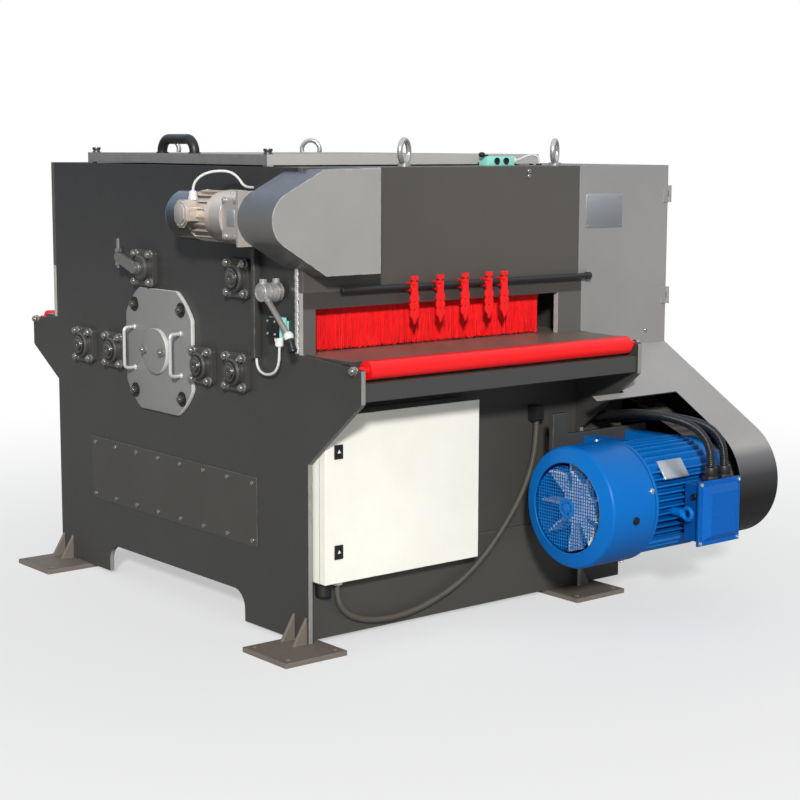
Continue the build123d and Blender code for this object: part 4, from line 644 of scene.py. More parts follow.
# Throat weld: a hand-laid bead where the throat frame meets the left plate.
# It lies in even scallops, ground a little and left bare.
weld_line = (-1.5, 51)
weld_low = 884
weld_high = 1140
weld_wide = 9
weld_proud = 4
weld_step = 6
weld_metal = metal("weld_metal", (206, 203, 196), 0.40, 300, 0.30, 0.25, 0.001, 0.5)
bpy.ops.object.select_all(action="DESELECT")
bpy.ops.mesh.primitive_uv_sphere_add(segments=12, ring_count=6, radius=1, location=at(*weld_line, weld_low))
bpy.context.active_object.scale = (weld_proud / 1000, weld_wide / 1000, weld_step / 1000)
scallop = as_stock()
scallops = []
for number in range(1, int((weld_high - weld_low) / weld_step) + 1):
    sway = 1.2 * math.sin(2.1 * number) + 0.7 * math.sin(5.3 * number)
    scallops.append(another(scallop, y=sway, z=number * weld_step))
fit(unite(scallop, *scallops), "throat_weld", weld_metal)


# Rail ends: on the right a dark set collar with a bright grub screw, and a bolt in the bar's end.
# On the left the bar ends in a turned cap.
collar = soften(stud((rail_right - 16, *rail_line), "X", 17, 12.5, 36), 1)
fit(collar, "rail_collar", rail_paint)
collar_screw = stud((rail_right - 8, rail_line[0], rail_line[1] + 11), "Z", 6, 4, 6)
collar_bolt = soften(stud((rail_right, *rail_line), "X", 6, 7.5, 6), 0.6)
fit(unite(collar_screw, collar_bolt), "rail_collar_bolts", zinc)
rail_cap = soften(stud((rail_left - 2, *rail_line), "X", 7, 9.8, 32), 1.2)
fit(rail_cap, "rail_cap", rail_paint)


# Flange bearings: cast housings, dark and a little rough from the mould, bolted to the left plate.
# Each has a rubber seal, a bright inner ring with grub screws on its shaft, and a grease nipple.
dress(metal("cast_iron", (80, 78, 75), 0.36, 420, 0.20, 0.35, 0.003, 0.3), "bearing_housings")
hub_face = -38
shaft_face = -46
shaft_radius = 20
ring_radius = 30
nipple_x = -27
nipple_out = Vector((0, -0.5, 0.866))
bearing_shafts = (
    ("lower_roller_1", 350, 798), ("lower_roller_2", 540, 798), ("lower_roller_3", 1082, 798),
    ("lower_roller_4", 1285, 798), ("swing_arm_front", 335, 1085),
)
seal_rubber = plastic("seal_rubber", (30, 30, 32), 0.5)
ring_steel = metal("ring_steel", (150, 147, 142), 0.24, 200, 0.16, 0.04)


def round_line(x, line, turn, reach):
    """A place round a shaft's line, turned up from its infeed side."""
    lift = math.radians(turn)
    return x, line[0] - reach * math.cos(lift), line[1] + reach * math.sin(lift)


def spoke(x, line, turn, start, end, radius, sides):
    """A bar that stands out from a shaft's line between two distances."""
    return bar(round_line(x, line, turn, start), round_line(x, line, turn, end), radius, sides)


def bearing_ring(y, z):
    """The inner ring round the shaft, with its bore and two grub screws."""
    rim = ring_radius - shaft_radius - 0.4
    ring = dished((hub_face, y, z), "X", -5, ring_radius, 48, rim, -4.8, 0.7)
    return unite(ring, *(spoke(hub_face - 2.6, (y, z), turn, 27, 31.2, 1.9, 6) for turn in (145, 25)))


def grease_nipple(y, z):
    """A nipple screwed into the housing's hub, pointing up and forward."""
    seat, neck, tip = (Vector((nipple_x, y, z)) + nipple_out * reach for reach in (40, 46, 52))
    return unite(bar(seat, neck, 4, 6), soften(bar(neck, tip, 2.6, 16), 0.9))


for shaft, y, z in bearing_shafts:
    seal = soften(stud((hub_face, y, z), "X", -1, 36, 48), 0.4)
    fit(seal, "bearing_seal_" + shaft, seal_rubber)
    fit(bearing_ring(y, z), "bearing_ring_" + shaft, ring_steel, shaft)
    centred = dished((shaft_face, y, z), "X", -1.2, shaft_radius - 0.6, 40, shaft_radius - 5.6, -1, 0.5)
    fit(centred, "shaft_end_" + shaft, ring_steel, shaft)
    fit(grease_nipple(y, z), "grease_nipple_" + shaft, zinc)


# Feed rollers, shafts, swing arms, arbor and sprockets: turned and milled steel, left bare.
# The saw blades are ground bright.
turned_steel = metal("turned_steel", (176, 174, 170), 0.30, 24, grain=(1, 30, 30))
dress(turned_steel, *("lower_feed_roller_%d" % number for number in range(1, 5)))
dress(
    turned_steel, "upper_feed_roller_front", "upper_feed_roller_rear", "arbor_shaft", "cross_shaft",
    "feed_input_sprocket", "feed_driven_sprocket",
)
arm_steel = metal("arm_steel", (146, 144, 140), 0.34, 90, 0.16, 0.06, 0.0015, 0.7)
dress(arm_steel, "swing_arm_front", "swing_arm_rear")
dress(metal("blade_steel", (190, 190, 190), 0.24, 60, 0.10, 0.03), "saw_blades")


# Arbor cover: a round 15 mm plate with four flats over the arbor's left bearing, painted grey, with a cap
# on its middle and two chromed bow handles to lift it off by.
cover_radius = 229
cover_half = 200
cover_back = -0.2
cover_face = -15
cap_face = -31
cap_radius = 74
handle_spread = 284
handle_length = 135
handle_reach = 42
handle_radius = 5.5
handle_bend = 14
handle_foot_radius = 9
handle_foot_high = 5
cover_grey = paint("cover_grey", (130, 129, 127), (176, 175, 172))
# All its faces but the flat front are painted paler, a painted highlight on its rims and flats.
paint_light_by_facing(cover_grey, "X", -0.92, -0.6, (206, 204, 199))
chrome = metal("chrome", (240, 240, 238), 0.16, 200, 0.05, 0.01, 0.001, 0.55)


def new_line(name, kind, count, resolution):
    """A curve with one line of some points, as an object of its own."""
    curve = bpy.data.curves.new(name, "CURVE")
    curve.dimensions = "3D"
    curve.resolution_u = resolution
    line = curve.splines.new(kind)
    points = line.bezier_points if kind == "BEZIER" else line.points
    points.add(count - 1)
    piece = bpy.data.objects.new(name, curve)
    scene.collection.objects.link(piece)
    return piece, line


def thick_line(curve, radius, rounds):
    """Makes a round closed bar of a curve."""
    curve.bevel_depth = radius / 1000
    curve.bevel_resolution = rounds
    curve.use_fill_caps = True


def bow_handle(foot, out, over, radius, bend):
    """A round bar bent into a bow between two feet, on a curve with round corners, made a mesh."""
    rise, span = Vector(out) / 1000, Vector(over) / 1000
    up, along, turn = rise.normalized(), span.normalized(), bend / 1000
    first = at(*foot)
    last = first + span
    legs = (
        first, first + rise - up * turn, first + rise + along * turn,
        last + rise - along * turn, last + rise - up * turn, last,
    )
    ways = (up, up, along, along, -up, -up)
    short, pull = turn / 4, 0.5523 * turn
    backs = (short, short, pull, short, pull, short)
    fronts = (short, pull, short, pull, short, short)
    piece, line = new_line("bow", "BEZIER", len(legs), 10)
    thick_line(piece.data, radius, 5)
    for point, place, way, back, front in zip(line.bezier_points, legs, ways, backs, fronts):
        point.co = place
        point.handle_left_type = point.handle_right_type = "FREE"
        point.handle_left = place - way * back
        point.handle_right = place + way * front
    only(piece)
    bpy.ops.object.convert(target="MESH")
    return bpy.context.active_object


cover = bar((cover_back, *arbor_line), (cover_face, *arbor_line), cover_radius, 128)
bpy.ops.object.mode_set(mode="EDIT")
for side in ((0, 1, 0), (0, -1, 0), (0, 0, 1), (0, 0, -1)):
    flat = at(*(Vector((0, *arbor_line)) + Vector(side) * cover_half))
    bpy.ops.mesh.select_all(action="SELECT")
    bpy.ops.mesh.bisect(plane_co=flat, plane_no=side, use_fill=True, clear_outer=True)
bpy.ops.object.mode_set(mode="OBJECT")
fit(soften(cover, 2, 3), "arbor_cover_plate", cover_grey)
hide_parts("arbor_cover")
cap = bar((cover_face, *arbor_line), (cap_face, *arbor_line), cap_radius, 96)
fit(soften(cap, 2, 3), "arbor_cap", cover_grey)
for name, side in (("front", -1), ("rear", 1)):
    lower = (cover_face, arbor_line[0] + side * handle_spread / 2, arbor_line[1] - handle_length / 2)
    handle = bow_handle(lower, (-handle_reach, 0, 0), (0, 0, handle_length), handle_radius, handle_bend)
    lower_foot = soften(stud(lower, "X", -handle_foot_high, handle_foot_radius, 28), 1.2)
    upper_foot = another(lower_foot, z=handle_length)
    fit(unite(handle, lower_foot, upper_foot), "cover_handle_" + name, chrome)


# Kickback lever: a turned hub on the cross shaft with zinc collars and a stepped disc on its end.
# Its arm carries a white plastic ball and a black ribbed grip, both screwed on.
lever_x = -67
lever_axis = (126, 1058)
lever_ball = (lever_x, 0, 940)
lever_end = (lever_x, -22, 896)
lever_hub_face = -78
ball_radius = 14.8
collar_radius = 29.6
collar_places = ((-56, 5), (-30, 10))
grip_rings = 5
white_plastic = plastic("white_plastic", (226, 225, 220), 0.36)
arm_grey = metal("arm_grey", (146, 139, 134), 0.40, 160, 0.14, 0.08, 0.001, 0.35)
dress(metal("hub_steel", (190, 186, 180), 0.32, 200, 0.14, 0.05, 0.0015, 0.5), "kickback_lever")
collars = [soften(stud((x, *lever_axis), "X", wide, collar_radius, 48), 0.8) for x, wide in collar_places]
hub_disc = stud((lever_hub_face + 0.5, *lever_axis), "X", -2.9, 25, 48)
step_faces(hub_disc, (-1, 0, 0), (4, 0), (0, -1.4), (3, 0), (0, 1.2))
fit(unite(*collars, soften(hub_disc, 0.5)), "lever_collars", zinc, "kickback_lever")
ball_to_hub = at(lever_x, *lever_axis) - at(*lever_ball)
ball_to_end = at(*lever_end) - at(*lever_ball)
arm_long = ball_to_hub.length * 1000
grip_long = ball_to_end.length * 1000


def from_ball(way, start, end, radius, sides):
    """A bar along a way, between two distances from the ball's middle."""
    places = [Vector(lever_ball) + way.normalized() * reach for reach in (start, end)]
    return bar(*places, radius, sides)


bpy.ops.object.select_all(action="DESELECT")
bpy.ops.mesh.primitive_uv_sphere_add(
    segments=40, ring_count=24, radius=ball_radius / 1000, location=at(*lever_ball)
)
ball = step_faces(as_stock(), ball_to_hub.normalized(), (1.2, 0.4))
fit(ball, "lever_ball", white_plastic, "kickback_lever")
arm = soften(from_ball(ball_to_hub, 12, arm_long - 24, 8.6, 32), 0.8)
arm_shoulder = soften(from_ball(ball_to_hub, arm_long - 40, arm_long - 24, 10.6, 32), 2)
fit(unite(arm, arm_shoulder), "lever_arm", arm_grey, "kickback_lever")
grip = soften(from_ball(ball_to_end, 9, grip_long + 0.8, 11.8, 36), 2.5, 4)
rings = []
for number in range(grip_rings):
    middle = grip_long * (0.42 + 0.11 * number)
    rings.append(soften(from_ball(ball_to_end, middle - 1.2, middle + 1.2, 12.7, 36), 0.9))
fit(unite(grip, *rings), "lever_grip", black_plastic, "kickback_lever")


# Main motor: cast and pressed parts in blue enamel. The fan cover is a deep-drawn cap with a round mesh of
# thin strips in its face, and the pale fan shows behind the mesh.
motor_blue = paint("motor_blue", (0, 104, 184), (50, 132, 204), 0.34, 0.10, 0.7, 0.003)
# Faces that look down are painted darker, a painted shade.
paint_light_by_facing(motor_blue, "Z", 0.1, -0.8, (0, 82, 152), 0.06)
terminal_blue = paint("terminal_blue", (0, 89, 172), (40, 126, 204), 0.30, 0.10, 0.6, 0.003)
# The terminal box's faces that look left are painted darker, a painted shade.
paint_light_by_facing(terminal_blue, "X", -0.85, -0.97, (6, 74, 142), 0.06)
for enamel, node in ((motor_blue, "motor_frame"), (terminal_blue, "motor_terminal_box")):
    wire(opened(enamel)[1], {"Specular IOR Level": 0.2})
    dress(enamel, node)
fan_grey = plastic("fan_grey", (236, 236, 232), 0.45)
tone_along(fan_grey, "X", 1000, 1001, (72, 71, 69))
dress(fan_grey, "motor_rotor")
motor_line = (-317, 383)
fan_face = 749
fan_cover_end = 948
fan_cover_radius = 190
fan_cover_round = 8
fan_cover_dish = 14
fan_dish_radius = 142
fan_cover_sheet = 4
mesh_radius = 131
mesh_pitch = 10
mesh_strip = 2.8
mesh_strips_each_side = 12
fan_hub_radius = 32
fan_hub_hole = 5.2
grille_bead_radius = 2
cover_screw_x = 934
cover_screw_turns = (18, 108, 198, 288)
cover_plug = (858, motor_line, -7)
motor_plate_x = (1012, 1122)
motor_plate_radius = 181
motor_plate_half = 32
motor_plate_turn = -37
terminal_x = (1079, 1253)
terminal_z = (269, 453)
terminal_screw_seat = -567.5
terminal_gasket_y = (-560.6, -557.4)
terminal_plug = (1082, -540, 412)


def drilled(piece, *drills):
    """A piece with holes where the drills stand."""
    drill = unite(*drills)
    worked(piece, "BOOLEAN", operation="DIFFERENCE", object=drill)
    bpy.data.objects.remove(drill)
    return piece


def crown_face(piece, direction, rim, rise):
    """Raises the face that looks in a direction to a low crown with a sloping rim."""
    pick(piece, "FACE", looks(direction))
    bpy.ops.mesh.inset(thickness=rim / 1000, depth=rise / 1000)
    bpy.ops.object.mode_set(mode="OBJECT")


def open_end(piece, direction):
    """Takes away the many-sided face that looks in a direction."""
    there = looks(direction)
    pick(piece, "FACE", lambda face: there(face) and len(face.verts) > 8)
    bpy.ops.mesh.delete(type="FACE")
    bpy.ops.object.mode_set(mode="OBJECT")


fan_cover = bar(
    (fan_cover_end, *motor_line), (fan_face + fan_cover_dish, *motor_line), fan_cover_radius, 96
)
crown_face(fan_cover, (-1, 0, 0), fan_cover_radius - fan_dish_radius, fan_cover_dish)
crown_face(fan_cover, (-1, 0, 0), fan_dish_radius - mesh_radius, 0)
soften(fan_cover, fan_cover_round, 6)
open_end(fan_cover, (-1, 0, 0))
open_end(fan_cover, (1, 0, 0))
worked(fan_cover, "SOLIDIFY", thickness=fan_cover_sheet / 1000, offset=-1)
fit(fan_cover, "motor_fan_cap", motor_blue)
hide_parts("motor_fan_cover")
y, z = motor_line
mesh_strips = []
for number in range(-mesh_strips_each_side, mesh_strips_each_side + 1):
    offset = number * mesh_pitch
    half = math.sqrt((mesh_radius + 0.6) ** 2 - offset ** 2)
    near, far = offset - mesh_strip / 2, offset + mesh_strip / 2
    mesh_strips += [
        slab((fan_face - 0.3, y + near, z - half), (fan_face + 1.5, y + far, z + half)),
        slab((fan_face - 0.1, y - half, z + near), (fan_face + 1.7, y + half, z + far)),
    ]
fit(soften(unite(*mesh_strips), 0.3, 1), "fan_cover_mesh", motor_blue)
fan_hub = stud((fan_face + 2, *motor_line), "X", -4, fan_hub_radius, 72)
# Thin black discs set just inside the hub's eight holes stand for the shade in them.
hub_drills, hub_hole_shade_discs = [], []
for turn in range(0, 360, 45):
    x, y, z = round_line(fan_face, motor_line, turn + 22.5, fan_hub_radius * 0.62)
    hub_drills.append(stud((x - 9, y, z), "X", 18, fan_hub_hole, 24))
    hub_hole_shade_discs.append(stud((x + 1, y, z), "X", 0.8, fan_hub_hole - 0.1, 24))
fit(soften(drilled(fan_hub, *hub_drills), 1), "fan_hub_disc", motor_blue)
fit(unite(*hub_hole_shade_discs), "fan_hub_hole_shade", black_plastic)
bpy.ops.object.select_all(action="DESELECT")
bpy.ops.mesh.primitive_torus_add(
    major_radius=fan_dish_radius / 1000, minor_radius=grille_bead_radius / 1000, major_segments=128,
    minor_segments=12, location=at(fan_face + 0.6, *motor_line), rotation=(0, math.pi / 2, 0),
)
fit(as_stock(), "grille_bead", motor_blue)
cover_screws = []
for turn in cover_screw_turns:
    washer = spoke(cover_screw_x, motor_line, turn, 189, 191.2, 9, 24)
    head = spoke(cover_screw_x, motor_line, turn, 191, 196, 6.5, 6)
    cover_screws += [washer, soften(head, 0.6)]
fit(unite(*cover_screws), "fan_cover_screws", zinc)
plug = soften(spoke(*cover_plug, 188, 194, 13, 28), 1.2)
plug_head = soften(spoke(*cover_plug, 193, 198, 8, 6), 0.6)
fit(unite(plug, plug_head), "fan_cover_plug", black_plastic)
pad_front = motor_line[0] - motor_plate_radius
plate_pad = slab(
    (motor_plate_x[0], pad_front, motor_line[1] - motor_plate_half),
    (motor_plate_x[1], pad_front + 6, motor_line[1] + motor_plate_half),
)
step_faces(plate_pad, (0, -1, 0), (2, 0), (0, 0.8))
plate_middle = Matrix.Translation(at(0, *motor_line))
plate_lean = Matrix.Rotation(math.radians(motor_plate_turn), 4, "X")
plate_pad.data.transform(plate_middle @ plate_lean @ plate_middle.inverted())
fit(soften(plate_pad, 0.4), "motor_blank_plate", plate_metal)
screw_places = [(x, terminal_screw_seat, z) for z in terminal_z for x in terminal_x]
lid_screw = dished(screw_places[0], "Y", -5.5, 6, 24, 2.4, -2.5, 0.6)
fit(repeated(lid_screw, *screw_places), "terminal_lid_screws", zinc)
plug_foot = soften(stud(terminal_plug, "X", -5, 12, 6), 0.8)
plug_crown = dished((terminal_plug[0] - 4, *terminal_plug[1:]), "X", -5, 8.5, 28, 3, -2, 0.6)
fit(unite(plug_foot, plug_crown), "terminal_plug", black_plastic)
terminal_gasket = slab(*zip(terminal_x, terminal_gasket_y, terminal_z))
fit(soften(terminal_gasket, 0.6), "terminal_gasket", seal_rubber)


# Feed gear motor: bare die-cast aluminium, with its pressed fan cover painted grey-blue.
# The terminal box's lid is screwed on, and the reducer has bolts, ribs and a blank plate.
casting = (0.34, 330, 0.16, 0.18, 0.002, 0.4)
feed_fan_start = (394 - layout_origin.y) / 1000
feed_fan_blue = (100, 114, 128)
feed_line = (-81, 1273)
feed_back = 520
grille_radius = 71
grille_rims = (6, 7, 6, 7, 6, 8)
grille_deep = 2
feed_box_face = -185
feed_box_y = (347, 413)
feed_box_z = (1243, 1319)
feed_box_clip = 19
box_screw_y = (feed_box_y[0] + 23, feed_box_y[1] - 23)
box_screw_z = (feed_box_z[0] + 5, feed_box_z[1] - 5)
reducer_face = -151
bolt_places = [(reducer_face + 1, y, z) for z in (1221, 1325) for y in (140, 196)]
rib_places = [(-132, y, 1342) for y in range(138, 200, 14)]
rib_long = 102
rib_radius = 5.5
reducer_plate_y = (148, 188)
reducer_plate_z = (1250, 1298)
feed_motor_finish = metal("feed_motor_finish", (214, 201, 188), *casting)
tree, shader, cast = opened(feed_motor_finish)
painted = reckon(tree, "GREATER_THAN", part_of(tree, own(tree), "Y"), feed_fan_start)
gloss = shader.inputs["Roughness"].links[0].from_socket
coat = clouded(tree, noise(tree, own(tree), 6), feed_fan_blue, 0.88, 1.12)
wire(shader, {
    "Base Color": mixed(tree, painted, cast, coat),
    "Metallic": stretch(tree, painted, 0, 1, 0.4, 0.9),
    "Roughness": reckon(tree, "MULTIPLY", gloss, stretch(tree, painted, 0, 1, 1, 0.4)),
})
# Faces that look down are painted darker, a painted shade.
paint_light_by_facing(feed_motor_finish, "Z", 0.1, -0.6, (98, 89, 80), 0.2)
dress(feed_motor_finish, "feed_motor")
cast_aluminium = metal("cast_aluminium", (216, 206, 196), *casting)
# Faces that look left and faces that look down are painted darker, a painted shade.
paint_light_by_facing(cast_aluminium, "X", -0.8, -0.97, (186, 180, 176), 0.12)
paint_light_by_facing(cast_aluminium, "Z", 0.1, -0.6, (104, 98, 91), 0.2)
dress(cast_aluminium, "gear_housings")


def clip_corners(piece, along, width):
    """Cuts a block's corners that run along one direction."""
    def runs(edge):
        run = (edge.verts[1].co - edge.verts[0].co).normalized()
        return abs(run.dot(Vector(along))) > 0.99

    pick(piece, "EDGE", runs)
    bpy.ops.mesh.bevel(offset=width / 1000, segments=1, affect="EDGES")
    bpy.ops.object.mode_set(mode="OBJECT")


box_lid = slab(*zip((feed_box_face - 4, feed_box_face + 1), feed_box_y, feed_box_z))
clip_corners(box_lid, (1, 0, 0), feed_box_clip)
step_faces(box_lid, (-1, 0, 0), (9, 3))
fit(soften(box_lid, 1), "feed_terminal_lid", cast_aluminium)
screw_places = [(feed_box_face - 4, y, z) for y in box_screw_y for z in box_screw_z]
box_screw = soften(stud(screw_places[0], "X", -3, 3.6, 20), 0.5)
fit(repeated(box_screw, *screw_places), "feed_terminal_screws", zinc)
grille = stud((feed_line[0], feed_back - 0.5, feed_line[1]), "Y", 3.5, grille_radius, 64)
grille_steps = []
for number, rim in enumerate(grille_rims):
    grille_steps += [(rim, 0), (0, grille_deep if number % 2 else -grille_deep)]
step_faces(grille, (0, 1, 0), *grille_steps)
feed_paint = paint("feed_paint", (96, 110, 128), (150, 160, 170), 0.28, 0.08, 0.6, 0.002)
fit(soften(grille, 0.4), "feed_fan_grille", feed_paint)
bolt_washer = stud(bolt_places[0], "X", -2.6, 9.5, 24)
bolt_head = soften(stud((reducer_face - 1.5, *bolt_places[0][1:]), "X", -6.5, 7.4, 6), 0.6)
reducer_bolt = unite(bolt_washer, bolt_head)
fit(repeated(reducer_bolt, *bolt_places), "reducer_bolts", zinc)
reducer_rib = soften(stud(rib_places[0], "X", rib_long, rib_radius, 20), 2)
fit(repeated(reducer_rib, *rib_places), "reducer_ribs", cast_aluminium)
reducer_plate = slab(*zip((reducer_face - 1.4, reducer_face + 0.5), reducer_plate_y, reducer_plate_z))
fit(soften(reducer_plate, 0.4), "reducer_blank_plate", plate_metal)


# Belts and chains: grey-brown ribbed V-belts under the guard, moulded in rubber.
# Oiled roller chains of plain steel run beside the plate.
belt_start = (1380 - layout_origin.x) / 1000
belt_brown = (96, 90, 84)
chain_grey = (104, 100, 94)
drive_rubber, tree, shader = new_finish("drive_rubber")
spot = own(tree)
rubber = reckon(tree, "GREATER_THAN", part_of(tree, spot, "X"), belt_start)
rib_wave = {"Vector": spot, "Scale": 22, "Distortion": 0.6, "Detail": 1}
ribs = add_node(tree, "ShaderNodeTexWave", rib_wave, "Fac", bands_direction="Z")
wire(shader, {
    "Base Color": mixed(tree, rubber, tone(chain_grey), clouded(tree, ribs, belt_brown, 0.6, 1.2)),
    "Metallic": stretch(tree, rubber, 0, 1, 0.9, 0),
    "Roughness": stretch(tree, noise(tree, spot, 90), 0.3, 0.7, 0.35, 0.6),
    "Normal": relief(tree, ribs, 0.4, 0.0006),
})
dress(drive_rubber, "belts_and_chains")


# Control cabinet: folded sheet with a textured cream powder coat, its door on two hidden hinges.
# The two quarter-turn locks are black zinc.
cream_coat = paint("cream_coat", (240, 237, 224), (222, 219, 206), 0.40, 0.16, 0.5, 0.003)
dress(cream_coat, "cabinet_body", "cabinet_door")
lock_black = metal("lock_black", (52, 52, 54), 0.36, 300, 0.15, 0.05, 0.001, 0.6)
dress(lock_black, "door_lock_upper", "door_lock_lower")
lock_x = 69
lock_face = -59.3
for lock, z in (("lock_upper", 596), ("lock_lower", 296)):
    seat = (lock_x, lock_face + 0.2, z)
    ring = dished(seat, "Y", -1.8, 11, 36, 3, -1, 0.4)
    fit(ring, lock + "_ring", lock_black, lock)
    insert = soften(stud(seat, "Y", -2, 7, 3), 0.7)
    fit(insert, lock + "_insert", white_plastic, lock)


# Cable fittings: glands, elbow and grommets, moulded in black or white plastic and screwed in.
# The flat duct on the left plate is folded sheet in the colour of the plate.
fitting_black = plastic("fitting_black", (30, 30, 31), 0.42)
dress(fitting_black, "cable_fittings")
white_glands = (
    ("feed_gland", (-147, 372, 1321), (-147, 372, 1349), 11.2),
    ("lever_gland", (-32, 96, 927), (-32, 96, 898), 11.2),
    ("lid_gland", (929, 152, 1436), (950, 152, 1436), 10.4),
    ("cabinet_gland", (104, -2, 203), (104, -2, 181), 14.8),
)
motor_gland_line = (1162, -532)
motor_gland_foot = 450
motor_gland_spread = 62
duct_low = (-24.6, 234.4, 851.4)
duct_high = (-0.2, 251.6, 1180.6)
mains_line = (52, -1.5)
mains_nut_foot = 190


def gland(base, tip, radius):
    """A cable gland: a hexagon against the wall and a round cap nut with a soft lip."""
    first, last = Vector(base), Vector(tip)
    knee = first.lerp(last, 0.38)
    hexagon = soften(bar(first, knee, radius * 1.3, 6), 0.6)
    nut = soften(bar(knee, first.lerp(last, 0.9), radius * 1.12, 12), 0.8)
    lip = soften(bar(first.lerp(last, 0.86), last, radius * 0.8, 24), 1)
    return unite(hexagon, nut, lip)


for name, base, tip, radius in white_glands:
    fit(gland(base, tip, radius), name, white_plastic)
collar_nut = soften(stud((*motor_gland_line, motor_gland_foot), "Z", 18, 28, 6), 1.5)
cap_nut = soften(stud((*motor_gland_line, motor_gland_foot + 17), "Z", 29, 22, 12), 2)
front_gland = unite(collar_nut, cap_nut)
rear_gland = another(front_gland, x=motor_gland_spread)
fit(front_gland, "motor_gland_front", fitting_black)
fit(rear_gland, "motor_gland_rear", fitting_black)
duct = step_faces(slab(duct_low, duct_high), (-1, 0, 0), (2, 0.8))
fit(soften(duct, 0.5), "cable_duct_cover", frame_paint)
mains_nut = soften(stud((*mains_line, mains_nut_foot), "Z", 12, 27.5, 6), 1)
drilled(mains_nut, stud((*mains_line, mains_nut_foot - 40), "Z", 80, 22, 32))
fit(mains_nut, "mains_gland_nut", fitting_black)


# Safety switches: mint plastic cases. The lever switch has a black cover with four screws, and the lid
# switch has two black blanking plugs and a roller lever that the lid holds down.
mint_plastic = plastic("mint_plastic", (150, 224, 212), 0.40)
case_box = ((-42, 80, 926), (-15, 138, 985))
pad_box = ((-15.5, 92, 938), (0, 126, 973))
cover_box = ((-50, 81, 927), (-41.5, 137, 984))
screw_places = [(-51, y, z) for y in (91, 127) for z in (937, 974)]
lid_case_box = ((812, 132, 1420), (930, 172, 1450))
plug_places = [(x, 132, 1435) for x in (851, 891)]
roller_arm_box = ((795, 140, 1450), (824, 148, 1455))
roller_place = (798, 137, 1455)
case = soften(slab(*case_box), 4, 3)
fit(unite(case, slab(*pad_box)), "lever_switch_case", mint_plastic)
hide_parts("safety_switches")
switch_cover = step_faces(slab(*cover_box), (-1, 0, 0), (5, 0), (0, 1.5))
fit(soften(switch_cover, 1.2), "lever_switch_cover", black_plastic)
switch_screw = dished(screw_places[0], "X", -2.4, 4, 20, 1.8, -1, 0.5)
fit(repeated(switch_screw, *screw_places), "lever_switch_screws", zinc)
lid_case = step_faces(slab(*lid_case_box), (0, -1, 0), (3, 0), (0, 1))
fit(soften(lid_case, 2, 3), "lid_switch_case", mint_plastic)
blank_plug = dished(plug_places[0], "Y", -5.5, 11, 32, 3.5, -2, 0.8)
fit(repeated(blank_plug, *plug_places), "lid_switch_plugs", black_plastic)
roller_arm = soften(slab(*roller_arm_box), 1)
roller = step_faces(stud(roller_place, "Y", 14, 8, 32), (0, -1, 0), (4, 0), (0, 1.5))
fit(unite(roller_arm, soften(roller, 0.8)), "lid_switch_lever", black_plastic)


# Cords: three ribbed black conduits, and three light grey cables. Each leaves a gland and goes back into
# the machine, and is as long as its route. Where the motor's conduits end behind the guard is a guess.
conduit_black = plastic("conduit_black", (26, 26, 27), 0.32, 900, 0.04)
conduit_dusty = plastic("conduit_dusty", (78, 72, 64), 0.5, 900, 0.06, 0.25)
cable_white = plastic("cable_white", (214, 213, 208), 0.46, 1500, 0.04, 0.05)
rib_profile = (0.80, 0.97, 1, 0.97)
cable_radius = 4
conduits = (
    ("cabinet_conduit", 10.5, 1192, 170, 14, conduit_dusty, (
        (104, -2, 186), (104, -2, 140), (128, -2, 97), (176, -2, 66), (250, -2, 48), (350, -2, 44),
        (470, -2, 66), (592, -2, 112), (690, -2, 178), (772, -2, 258), (850, -2, 352), (898, -2, 448),
        (917, -2, 540), (917, -2, 600),
    )),
    ("motor_conduit_front", 13.5, 642, 110, 16, conduit_black, (
        (1162, -532, 490), (1162, -532, 546), (1155, -504, 596), (1143, -452, 625), (1131, -380, 636),
        (1124, -295, 638), (1130, -212, 631), (1145, -136, 615), (1160, -68, 600), (1165, -28, 595),
        (1165, 10, 595),
    )),
    ("motor_conduit_rear", 13.5, 630, 110, 16, conduit_black, (
        (1224, -532, 490), (1224, -532, 545), (1220, -503, 592), (1213, -450, 617), (1206, -376, 624),
        (1203, -290, 622), (1204, -208, 612), (1208, -134, 597), (1212, -66, 584), (1213, -28, 580),
        (1213, 10, 580),
    )),
)
cables = (
    ("feed_motor_cable", 235, (
        (-147, 372, 1346), (-147, 372, 1366), (-134, 358, 1390), (-110, 340, 1404), (-80, 318, 1408),
        (-56, 301, 1403), (-40, 287, 1386), (-30, 272, 1358), (0, 272, 1358),
    )),
    ("lever_switch_cable", 239, (
        (-32, 96, 902), (-32, 96, 874), (-31, 102, 844), (-28, 124, 820), (-23, 158, 809), (-18, 196, 806),
        (-14, 227, 814), (-12, 243, 834), (-12, 243, 852),
    )),
    ("lid_switch_cable", 124, (
        (944, 152, 1436), (962, 152, 1436), (988, 150, 1447), (1014, 146, 1455), (1036, 141, 1452),
        (1045, 138, 1440), (1045, 138, 1426),
    )),
)


def route_curve(name, route):
    """A smooth line with a route's points as its control points."""
    piece, line = new_line(name, "NURBS", len(route), 32)
    for point, place in zip(line.points, route):
        point.co = (*at(*place), 1)
    line.order_u = 3
    line.use_endpoint_u = True
    return piece


